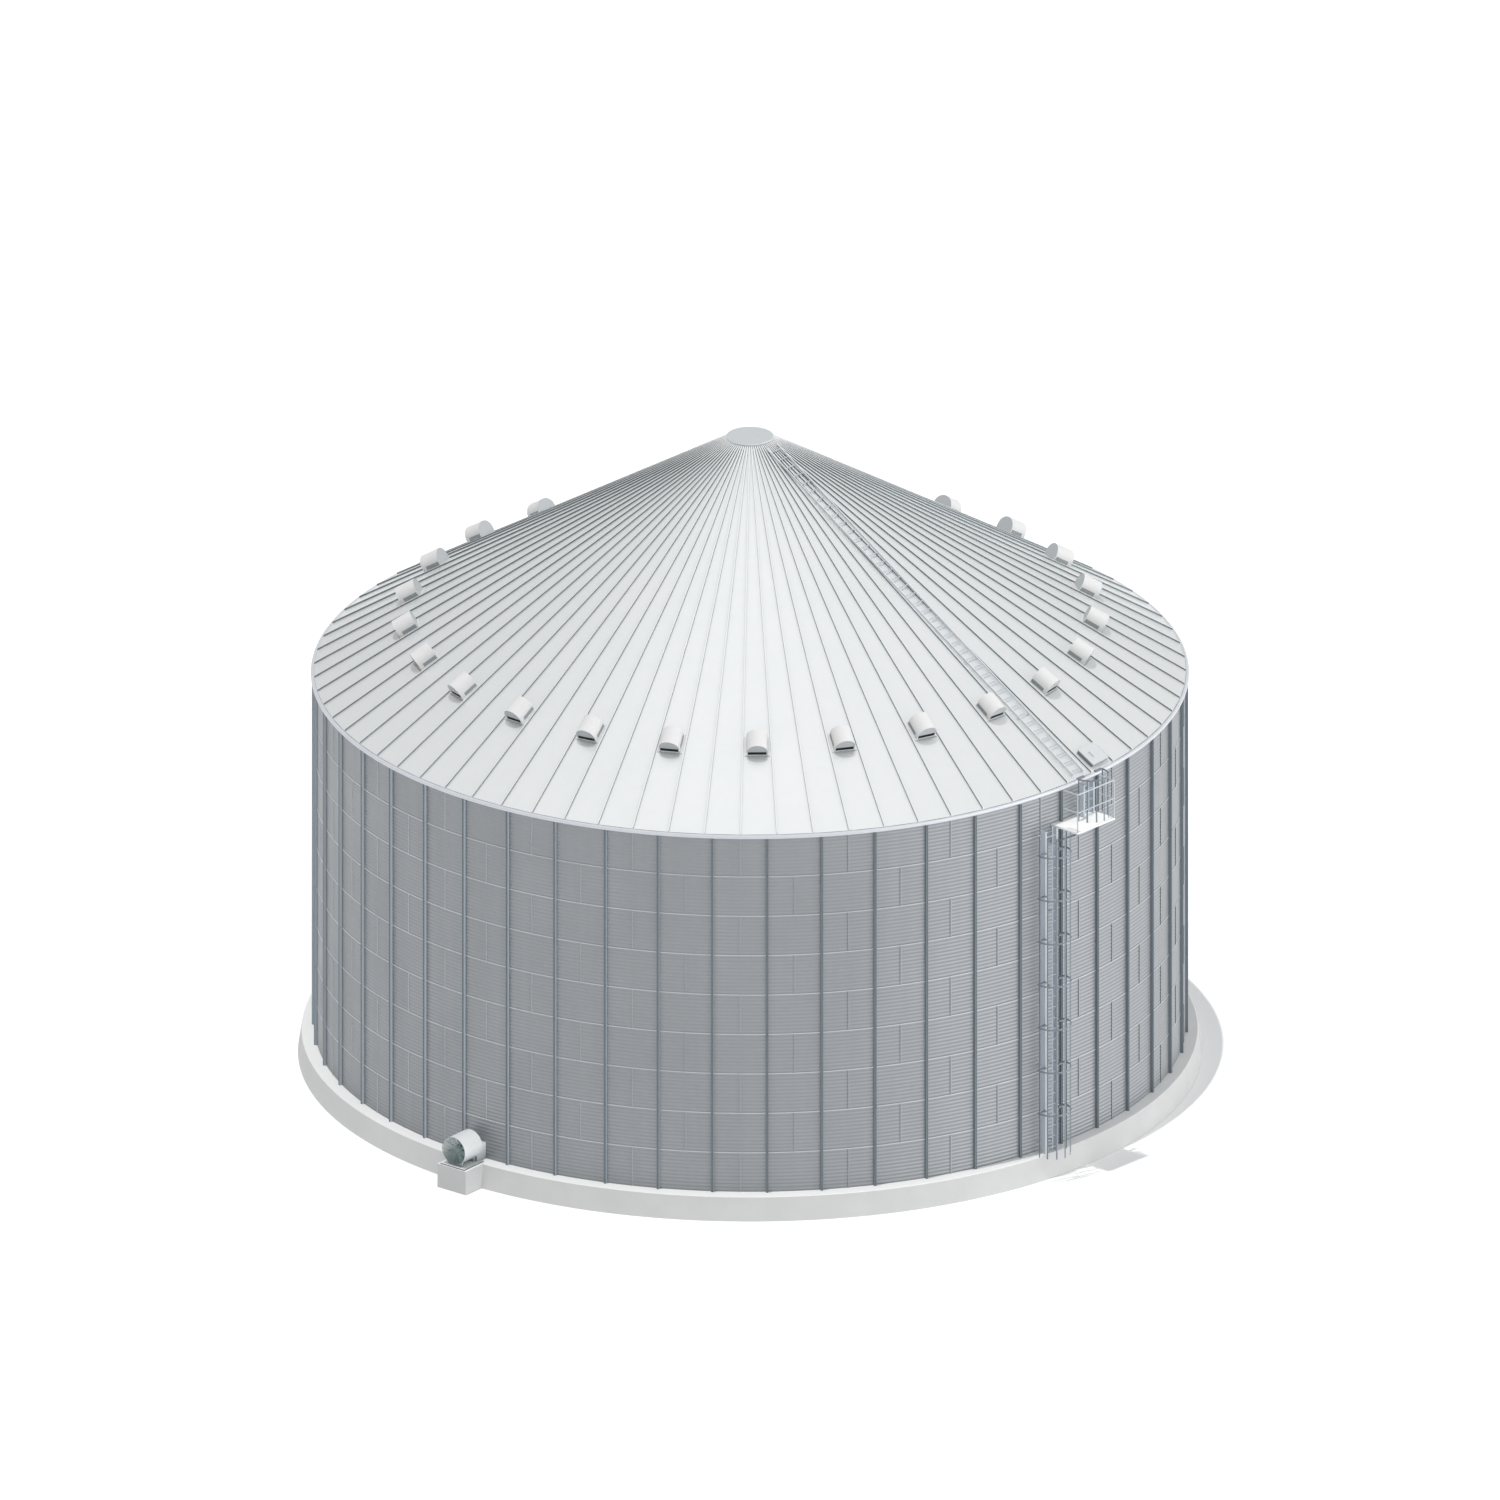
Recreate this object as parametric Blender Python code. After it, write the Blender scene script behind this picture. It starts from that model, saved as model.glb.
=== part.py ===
"""Steel grain silo on a concrete ring, modelled at real size in metres with Z up.

The origin is on the ground at the middle of the silo. A bearing is an angle in degrees round
the silo: 0 faces -Y and grows towards +X. A piece that stands at a bearing is modelled as if at
the front, where outwards is -Y and its right-hand side is +X, and then turned about Z.
"""

import math
from itertools import product

import bmesh
import bpy
from mathutils import Vector

# Fit between pieces, and how far a fused or cutting solid runs past the face that it meets
SEAT = 0.0003
BITE = 0.02

# Foundation
RING_TOP = 0.663
RING_TOP_RADIUS = 11.776
RING_FOOT_RADIUS = 11.876
RING_INSIDE_RADIUS = 11.18
FLOOR_THICKNESS = 0.15

# Wall: nine rings of sheet, two stiffener posts to a sheet
WALL_RADIUS = 11.43
WALL_DEPTH = 0.016
SHEET_HEIGHT = 1.1176
POSTS = 50
POST_BEARING = 2.25
POST_WIDTH = 0.065
POST_OUTSIDE = 11.513
WALL_SEGMENTS = 5
WALL_START = POST_BEARING - 180.0 / POSTS - 360.0 / WALL_SEGMENTS
WALL_TOP = 10.688

# Roof: a cone of flat panels with a standing rib at each panel edge
ROOF_SLOPE = 0.605
ROOF_APEX = 17.725
ROOF_SHEET = 0.010
ROOF_TOP_RADIUS = 0.58
PANELS = 75
RIB_BEARING = -1.23
RIB_WIDTH = 0.042
RIB_HEIGHT = 0.045
ROOF_SECTORS = 5
EAVE_RADIUS = 11.485
EAVE_TUBE = 0.056
CAP_RADIUS = 0.62
CAP_HEIGHT = 0.045
CAP_PLUG_GAP = 0.01
CAP_PLUG_DEPTH = 0.12

# Roof vents, one to three panels
VENTS = 25
VENT_RADIUS = 8.995
VENT_WIDTH = 0.56
VENT_LENGTH = 0.55
VENT_HEIGHT = 0.42
VENT_SHEET = 0.012
VENT_FLANGE = 0.05
VENT_SLOT_LOW = 0.035
VENT_SLOT_HIGH = 0.14
VENT_FRONT_POST = 0.032
VENT_SIDE_POST = 0.12
VENT_BACK_POST = 0.025
VENT_STEPS = 8

# Hatch and roof ladder; panels are counted from the rib at RIB_BEARING
HATCH_PANEL = 11.5
HATCH_RADIUS = 11.09
HATCH_WIDTH = 0.66
HATCH_LENGTH = 0.56
HATCH_CURB = 0.10
HATCH_WALL = 0.02
LID_THICKNESS = 0.03
HINGE_PIN = 0.007
HINGE_KNUCKLE = 0.014
HINGE_REACH = 0.022
LEAF_LIFT = 0.002
LEAF_RISE = 0.012
KNUCKLE_SPANS = ((-0.20, -0.12), (0.12, 0.20))
KNUCKLE_GAP = 0.002
BORE_GAP = 0.001
LUG_WIDTH = 0.010
LID_OVERHANG = 0.015
HANDLE_PLACE = -0.12
HANDLE_LENGTH = 0.17
HANDLE_BAR = 0.024
HANDLE_LIFT = 0.03
HANDLE_GRIP = 0.02
ROOF_LADDER_WIDTH = 0.44
ROOF_LADDER_STILE = 0.03
ROOF_LADDER_DEPTH = 0.05
ROOF_LADDER_LIFT = 0.004
ROOF_LADDER_FOOT = 11.36
ROOF_LADDER_HEAD = 0.72
ROOF_LADDER_LEGS = (0.04, 2.2, 4.3)
ROOF_RUNG_LIFT = 0.010

# Wall ladders, cages and platform
LADDER_BEARING = 42.4
UPPER_BEARING = 49.3
LADDER_WIDTH = 0.44
LADDER_STILE = 0.05
LADDER_INSIDE = 11.57
LADDER_OUTSIDE = 11.75
LADDER_PITCH = 0.304
RUNG = 0.03
LEG = 0.05
LEG_GAP = 2.4
LEG_INSET = 0.26
FIRST_RUNG = 0.12
RUNG_INSET = 0.05
CAGE_CENTRE = 11.80
CAGE_RADIUS = 0.48
CAGE_BARS = 7
CAGE_BAR_WIDTH = 0.04
CAGE_BAR_DEPTH = 0.008
HOOP_HEIGHT = 0.045
HOOP_PITCH = 1.217
FIRST_HOOP = 1.895
LOWER_HOOPS = 7
ARM_HEIGHT = 0.04
ARM_FRONT = 0.004
ARM_BACK = 0.03
UPPER_LADDER_TOP = 10.70
UPPER_CAGE_TOP = 11.01
DECK_TOP = 9.80
DECK_THICKNESS = 0.05
DECK_LEFT = 44.1
DECK_RIGHT = 50.8
DECK_OUTSIDE = 12.37
DECK_BITE = 0.05
KNEE_HANG = 0.09
KNEE_DROP = 0.44
KNEE_TAIL = 0.12
KNEE_WIDTH = 0.04
KNEE_DEPTH = 0.06
KNEE_INSET = 0.025
RAIL_HEIGHT = 1.08
MID_RAIL = 0.55
RAIL_TUBE = 0.036
SIDE_RAIL = 0.45

# Fan
FAN_BEARING = -38.8
PAD_WIDTH = 0.95
PAD_INSIDE = 11.5
PAD_OUTSIDE = 12.51
BASE_WIDTH = 0.80
BASE_INSIDE = 11.66
BASE_OUTSIDE = 12.475
BASE_THICKNESS = 0.027
FAN_AXIS = 1.11
FAN_RADIUS = 0.382
FAN_SHEET = 0.008
FAN_SIDES = 32
FAN_BACK = 11.70
FAN_FRONT = 12.42
REAR_LIP = 0.006
FOOT_WIDTH = 0.48
FOOT_THICKNESS = 0.04
FOOT_OVERLAP = 0.12
FOOT_PLACES = (12.34, 11.86)
IMPELLER_PLACE = 12.25
BLADES = 8
BLADE_TIP = 0.352
BLADE_PITCH = 40.0
BLADE_WIDTH = 0.10
BLADE_ROOT_SHARE = 0.7
BLADE_THICKNESS = 0.006
HUB_RADIUS = 0.085
HUB_LENGTH = 0.11
SHAFT_RADIUS = 0.019
SHAFT_FRONT = 12.32
MOTOR_RADIUS = 0.12
MOTOR_BACK = 11.90
MOTOR_FRONT = 12.15
MOTOR_ARMS = 4
MOTOR_ARM_PLACE = 0.1
ARM_RADIUS = 0.015
GUARD_HOLE = 0.03
GUARD_RINGS = (0.10, 0.17, 0.24, 0.31)
GUARD_WIRE = 0.010
GUARD_RIM = 0.012
GUARD_BARS = 8
GUARD_BAR_TURN = 3.2
GUARD_LAYER = 0.006
DUCT_WIDTH = 0.58
DUCT_LOW = RING_TOP + BASE_THICKNESS + 2 * SEAT
DUCT_TOP = 1.12
DUCT_OUTSIDE = 11.80
DUCT_SHEET = 0.010


def clear_scene():
    for old in list(bpy.data.objects):
        bpy.data.objects.remove(old, do_unlink=True)


def finish(name, colour, roughness, metallic):
    """Principled material with the given base colour."""
    made = bpy.data.materials.new(name)
    made.use_nodes = True
    shader = made.node_tree.nodes["Principled BSDF"]
    shader.inputs["Base Color"].default_value = (*colour, 1.0)
    shader.inputs["Roughness"].default_value = roughness
    shader.inputs["Metallic"].default_value = metallic
    return made


def bearing_point(radius, bearing, height=0.0):
    angle = math.radians(bearing)
    return Vector((radius * math.sin(angle), -radius * math.cos(angle), height))


def add_object(name, bm, look, bearing=0.0, smooth=False):
    """Makes the node from a bmesh and turns it to its bearing."""
    bmesh.ops.recalc_face_normals(bm, faces=bm.faces)
    mesh = bpy.data.meshes.new(name)
    bm.to_mesh(mesh)
    bm.free()
    made = bpy.data.objects.new(name, mesh)
    made.rotation_euler.z = math.radians(bearing)
    made.data.materials.append(look)
    bpy.context.scene.collection.objects.link(made)
    if smooth:
        mesh.shade_smooth()
        mesh.set_sharp_from_angle(angle=math.radians(35))
    return made


def cell_solid(lines, filled, place, full_turn=False):
    """Closed mesh of the filled cells of a grid.

    lines holds the grid lines along each of the three axes, filled says which cells are solid,
    and place turns three grid values into a point. With full_turn the first axis closes on
    itself, and its last line stands for the first one again.
    """
    counts = [len(line) - 1 for line in lines]
    full = {cell for cell in product(*map(range, counts)) if filled(*cell)}
    bm = bmesh.new()
    corners = {}

    def corner(index):
        if full_turn:
            index[0] %= counts[0]
        key = tuple(index)
        if key not in corners:
            corners[key] = bm.verts.new(place(*(line[i] for line, i in zip(lines, key))))
        return corners[key]

    for cell in sorted(full):
        for axis, side in product(range(3), (0, 1)):
            beyond = list(cell)
            beyond[axis] += 2 * side - 1
            if full_turn:
                beyond[0] %= counts[0]
            if tuple(beyond) in full:
                continue
            ring = []
            for first, second in ((0, 0), (1, 0), (1, 1), (0, 1)):
                index = list(cell)
                index[axis] += side
                index[(axis + 1) % 3] += first
                index[(axis + 2) % 3] += second
                ring.append(corner(index))
            bm.faces.new(ring if side else ring[::-1])
    return bm


def merge_flat_faces(bm):
    """Joins faces that lie in one plane."""
    bmesh.ops.recalc_face_normals(bm, faces=bm.faces)
    bmesh.ops.dissolve_limit(bm, angle_limit=math.radians(0.2), verts=bm.verts, edges=bm.edges)
    return bm


def lathe(profile, steps, first_bearing=0.0):
    """Closed ring turned about Z from (radius, height) points listed round the section."""
    bm = bmesh.new()
    rows = []
    for step in range(steps):
        bearing = first_bearing + 360.0 * step / steps
        rows.append([bm.verts.new(bearing_point(r, bearing, z)) for r, z in profile])
    for here, there in zip(rows, rows[1:] + rows[:1]):
        for i in range(len(profile)):
            j = (i + 1) % len(profile)
            bm.faces.new((here[i], there[i], there[j], here[j]))
    return bm


def turned_solid(levels, steps):
    """Solid turned about Z through (radius, height) levels, with a flat face at each end."""
    bm = bmesh.new()
    rings = []
    for radius, height in levels:
        rings.append([bm.verts.new(bearing_point(radius, 360.0 * i / steps, height)) for i in range(steps)])
    for low, high in zip(rings, rings[1:]):
        for i in range(steps):
            j = (i + 1) % steps
            bm.faces.new((low[i], low[j], high[j], high[i]))
    bm.faces.new(rings[0])
    bm.faces.new(rings[-1][::-1])
    return bm


def box(x0, x1, y0, y1, z0, z1):
    return cell_solid(((x0, x1), (y0, y1), (z0, z1)), lambda *cell: True, lambda *p: Vector(p))


def tube(start, end, radius, sides, turn=0.0):
    """Round or many-sided bar from start to end, with closed ends."""
    bm = bmesh.new()
    along = (end - start).normalized()
    across = along.cross(Vector((0, 0, 1)))
    if across.length < 0.01:
        across = Vector((1, 0, 0))
    across.normalize()
    other = along.cross(across)
    rings = []
    for centre in (start, end):
        ring = []
        for i in range(sides):
            angle = 2 * math.pi * (i + turn) / sides
            spoke = across * math.cos(angle) + other * math.sin(angle)
            ring.append(bm.verts.new(centre + radius * spoke))
        rings.append(ring)
    bm.faces.new(rings[0])
    bm.faces.new(rings[1][::-1])
    for i in range(sides):
        j = (i + 1) % sides
        bm.faces.new((rings[0][i], rings[0][j], rings[1][j], rings[1][i]))
    bmesh.ops.recalc_face_normals(bm, faces=bm.faces)
    return bm


def cutter(name, bm, bearing=0.0):
    """Helper solid that a Boolean reads and that is not a node."""
    bmesh.ops.recalc_face_normals(bm, faces=bm.faces)
    mesh = bpy.data.meshes.new(name)
    bm.to_mesh(mesh)
    bm.free()
    made = bpy.data.objects.new(name, mesh)
    made.rotation_euler.z = math.radians(bearing)
    made.hide_render = True
    made.display_type = "WIRE"
    bpy.context.scene.collection.objects.link(made)
    return made


def combine(target, tool, operation):
    step = target.modifiers.new(tool.name, "BOOLEAN")
    step.operation = operation
    step.solver = "EXACT"
    step.object = tool


def roof_height(radius):
    """Height of the roof sheet's upper face on a rib line."""
    return ROOF_APEX - ROOF_SLOPE * radius


PANEL_HALF = math.radians(180.0 / PANELS)
PANEL_SLOPE = ROOF_SLOPE / math.cos(PANEL_HALF)
PANEL_PITCH = math.atan(PANEL_SLOPE)


def put_on_panel(made, radius, bearing, lift=0.0):
    """Sets an object, modelled flat with its down-slope side at -Y, on the middle of a roof panel."""
    made.rotation_euler = (PANEL_PITCH, 0.0, math.radians(bearing))
    made.location = bearing_point(radius, bearing, ROOF_APEX - PANEL_SLOPE * radius + lift)


def build_foundation(concrete):
    profile = (
        (RING_INSIDE_RADIUS, 0.0),
        (RING_FOOT_RADIUS, 0.0),
        (RING_TOP_RADIUS, RING_TOP),
        (RING_INSIDE_RADIUS, RING_TOP),
    )
    add_object("foundation_ring", lathe(profile, POSTS * 2), concrete)
    slab = RING_INSIDE_RADIUS - SEAT
    add_object("floor_slab", turned_solid(((slab, 0.0), (slab, FLOOR_THICKNESS)), POSTS * 2), concrete)


def wall_lines(start, spread=0.0):
    """Bearings of the grid lines of one wall segment, and of its posts; spread widens the posts."""
    pitch = 360.0 / POSTS
    count = POSTS // WALL_SEGMENTS
    half_post = math.degrees((POST_WIDTH / 2 + spread) / POST_OUTSIDE)
    posts = [start + pitch * (i + 0.5) for i in range(count)]
    bearings = [start + pitch * i for i in range(count)]
    for post in posts:
        bearings += [post - half_post, post + half_post]
    bearings.append(start + pitch * count - math.degrees(SEAT / WALL_RADIUS))
    return sorted(bearings), posts


def on_post(bearings, posts, i):
    middle = (bearings[i] + bearings[i + 1]) / 2
    return any(abs(middle - post) < 180.0 / POSTS / 4 for post in posts)


def at_bearing(bearing, radius, height):
    return bearing_point(radius, bearing, height)


def build_wall(steel):
    """Curved wall segments, each with its ten posts, and the sheet behind the fan duct."""
    inside = WALL_RADIUS - WALL_DEPTH / 2
    outside = WALL_RADIUS + WALL_DEPTH / 2
    post_pitch = 360.0 / POSTS
    span = 360.0 / WALL_SEGMENTS
    foot = RING_TOP + SEAT
    sheet_top = RING_TOP + SHEET_HEIGHT
    slit = math.degrees(SEAT / WALL_RADIUS)
    bay = (None, None)
    for number in range(WALL_SEGMENTS):
        start = WALL_START + span * number
        bearings, posts = wall_lines(start)
        has_duct = start < FAN_BEARING < start + span
        heights = (foot, WALL_TOP)
        if has_duct:
            heights = (foot, sheet_top, WALL_TOP)
            left = max(post for post in posts if post < FAN_BEARING)
            half_post = math.degrees(POST_WIDTH / 2 / POST_OUTSIDE)
            bay = (left + half_post, left + post_pitch - half_post)

        def filled(i, j, k, bearings=bearings, posts=posts, has_duct=has_duct, bay=bay):
            if on_post(bearings, posts, i):
                return True
            middle = (bearings[i] + bearings[i + 1]) / 2
            return j == 0 and not (has_duct and k == 0 and bay[0] < middle < bay[1])

        bm = cell_solid((bearings, (inside, outside, POST_OUTSIDE), heights), filled, at_bearing)
        add_object(f"wall_segment_{number + 1}", merge_flat_faces(bm), steel)
        if has_duct:
            half_duct = math.degrees((DUCT_WIDTH / 2 - DUCT_SHEET) / WALL_RADIUS)
            bearings = (bay[0] + slit, FAN_BEARING - half_duct, FAN_BEARING + half_duct, bay[1] - slit)
            heights = (foot, DUCT_LOW + DUCT_SHEET, DUCT_TOP - DUCT_SHEET, sheet_top - SEAT)
            bm = cell_solid(
                (bearings, (inside, outside), heights), lambda i, j, k: not (i == 1 and k == 1), at_bearing
            )
            add_object("duct_wall_sheet", bm, steel)


def wall_clearance(name):
    """Cutter that shapes a piece to the wall and posts beside the ladders, just clear of them."""
    bearings, posts = wall_lines(WALL_START + 360.0 / WALL_SEGMENTS, SEAT)
    radii = (WALL_RADIUS - 1.0, WALL_RADIUS + WALL_DEPTH / 2 + SEAT, POST_OUTSIDE + SEAT)
    bm = cell_solid(
        (bearings, radii, (0.0, WALL_TOP)), lambda i, j, k: j == 0 or on_post(bearings, posts, i), at_bearing
    )
    return cutter(name, bm)


def build_eave(steel):
    profile = []
    for i in range(8):
        angle = math.radians(45 * i + 22.5)
        radius = EAVE_RADIUS + EAVE_TUBE * math.cos(angle)
        profile.append((radius, eave_height() + EAVE_TUBE * math.sin(angle)))
    add_object("eave_ring", lathe(profile, PANELS, RIB_BEARING), steel, smooth=True)


def eave_height():
    return WALL_TOP + SEAT + EAVE_TUBE * math.cos(math.radians(22.5))


def roof_place(line, radius, lift):
    """Point on the flat panel between two rib lines, at a distance from the first of them."""
    rib, neighbour, along = line
    start = bearing_point(radius, rib)
    chord = bearing_point(radius, neighbour) - start
    if along is None:
        along = (chord.length - SEAT) / 2
    point = start + chord.normalized() * along
    return Vector((point.x, point.y, roof_height(radius) + lift))


def build_roof(steel):
    """Roof sectors of flat panels with their ribs, split between vents, and the hatch's own panel."""
    pitch = 360.0 / PANELS
    cosine = math.cos(math.atan(ROOF_SLOPE))
    drop = ROOF_SHEET / cosine
    layers = (-drop, 0.0, RIB_HEIGHT / cosine)
    tube_face = (EAVE_TUBE * math.cos(math.radians(22.5)) + SEAT) * math.sqrt(2)
    edge = (EAVE_RADIUS + ROOF_APEX - drop - eave_height() - tube_face) / (1 + ROOF_SLOPE)
    radii = (ROOF_TOP_RADIUS, edge)
    per_sector = PANELS // ROOF_SECTORS
    splits = [per_sector * number + 1.5 for number in range(ROOF_SECTORS + 1)]
    spans = list(zip(splits, splits[1:]))
    spans[0:1] = [(splits[0], HATCH_PANEL - 0.5), (HATCH_PANEL + 0.5, splits[1])]
    for number, (low, high) in enumerate(spans):
        ribs = [RIB_BEARING + pitch * i for i in range(math.ceil(low), math.floor(high) + 1)]
        lines = [(rib, rib + side * pitch, RIB_WIDTH / 2) for rib in ribs for side in (-1, 1)]
        first_is_rib, last_is_rib = low == math.ceil(low), high == math.floor(high)
        if not first_is_rib:
            lines.insert(0, (ribs[0], ribs[0] - pitch, None))
        if not last_is_rib:
            lines.append((ribs[-1], ribs[-1] + pitch, None))
        odd = 0 if first_is_rib else 1
        bm = cell_solid((lines, radii, layers), lambda i, j, k: k == 0 or i % 2 == odd, roof_place)
        add_object(f"roof_sector_{number + 1}", bm, steel)
    left, right = (RIB_BEARING + pitch * (HATCH_PANEL + side) for side in (-0.5, 0.5))
    lines = ((left, right, RIB_WIDTH / 2 + SEAT), (right, left, RIB_WIDTH / 2 + SEAT))
    panel = cell_solid((lines, radii, layers[:2]), lambda *cell: True, roof_place)
    panel = add_object("hatch_panel", panel, steel)
    half_x = HATCH_WIDTH / 2 - HATCH_WALL
    half_y = HATCH_LENGTH / 2 - HATCH_WALL
    hole = cutter("hatch_hole", box(-half_x, half_x, -half_y, half_y, -0.1, 0.1))
    put_on_panel(hole, HATCH_RADIUS, hatch_bearing())
    combine(panel, hole, "DIFFERENCE")


def hatch_bearing():
    return RIB_BEARING + 360.0 / PANELS * HATCH_PANEL


def build_cap(steel):
    """Flat cover over the roof's centre, with a plug that stands in the roof's round opening."""
    seat = roof_height(ROOF_TOP_RADIUS) + RIB_HEIGHT / math.cos(math.atan(ROOF_SLOPE)) + SEAT
    plug = ROOF_TOP_RADIUS - CAP_PLUG_GAP
    top = seat + CAP_HEIGHT
    levels = ((plug, seat - CAP_PLUG_DEPTH), (plug, seat), (CAP_RADIUS, seat), (CAP_RADIUS, top))
    add_object("peak_cap", turned_solid(levels, 40), steel, smooth=True)


def arch(width, height, steps):
    """Points of an upright-sided outline with a half-round top, from foot to foot."""
    radius = width / 2
    points = [(-radius, 0.0)]
    for i in range(steps + 1):
        angle = math.pi * i / steps
        points.append((-radius * math.cos(angle), height - radius + radius * math.sin(angle)))
    return points + [(radius, 0.0)]


def vent_hood(ends):
    """Hood of sheet, open below, with a closed face at each end."""
    outer = arch(VENT_WIDTH, VENT_HEIGHT, VENT_STEPS)
    inner = arch(VENT_WIDTH - 2 * VENT_SHEET, VENT_HEIGHT - VENT_SHEET, VENT_STEPS)
    bm = bmesh.new()
    solid = [[bm.verts.new((x, y, z)) for x, z in outer] for y in (ends[0], ends[3])]
    hollow = [[bm.verts.new((x, y, z)) for x, z in inner] for y in (ends[1], ends[2])]
    for rows, turn in ((solid, 1), (hollow, -1)):
        for i in range(len(outer) - 1):
            face = (rows[0][i], rows[0][i + 1], rows[1][i + 1], rows[1][i])
            bm.faces.new(face[::turn])
        bm.faces.new(rows[0][::-turn])
        bm.faces.new(rows[1][::turn])
    feet = [(rows[0][0], rows[0][-1], rows[1][-1], rows[1][0]) for rows in (solid, hollow)]
    for i in range(4):
        j = (i + 1) % 4
        bm.faces.new((feet[0][i], feet[0][j], feet[1][j], feet[1][i]))
    return bm


def vent_tools(ends):
    """Solids that give the hood its flange and cut its slots, down-slope and at both sides."""
    half = VENT_WIDTH / 2
    x_lines = (-half - VENT_FLANGE, VENT_SHEET - half, half - VENT_SHEET, half + VENT_FLANGE)
    y_lines = (ends[0] - VENT_FLANGE, ends[1], ends[2], ends[3] + VENT_FLANGE)
    flange = cell_solid(
        (x_lines, y_lines, (0.0, VENT_SHEET)), lambda i, j, k: not (i == 1 and j == 1), lambda *p: Vector(p)
    )
    heights = (VENT_SLOT_LOW, VENT_SLOT_HIGH)
    inside = half - VENT_FRONT_POST
    front = box(-inside, inside, ends[0] - BITE, ends[1] + BITE, *heights)
    beyond = half + BITE
    sides = box(-beyond, beyond, ends[0] + VENT_SIDE_POST, ends[3] - VENT_BACK_POST, *heights)
    return (
        (cutter("vent_flange", flange), "UNION"),
        (cutter("vent_front", front), "DIFFERENCE"),
        (cutter("vent_sides", sides), "DIFFERENCE"),
    )


def build_vents(steel):
    """Half-round hoods, closed up-slope and open low down on the other three sides."""
    half = VENT_LENGTH / 2
    ends = (-half, VENT_SHEET - half, half - VENT_SHEET, half)
    tools = vent_tools(ends)
    mesh_source = None
    for number in range(VENTS):
        bearing = RIB_BEARING + 180.0 / PANELS + 360.0 / VENTS * number
        name = f"roof_vent_{number + 1:02d}"
        if mesh_source is None:
            made = add_object(name, vent_hood(ends), steel)
            mesh_source = made.data
        else:
            made = bpy.data.objects.new(name, mesh_source)
            bpy.context.scene.collection.objects.link(made)
        put_on_panel(made, VENT_RADIUS, bearing, SEAT)
        for tool, operation in tools:
            turned = tool.copy()
            turned.name = f"{tool.name}_{number + 1:02d}"
            bpy.context.scene.collection.objects.link(turned)
            put_on_panel(turned, VENT_RADIUS, bearing, SEAT)
            combine(made, turned, operation)
    for tool, _ in tools:
        bpy.data.objects.remove(tool, do_unlink=True)


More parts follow.
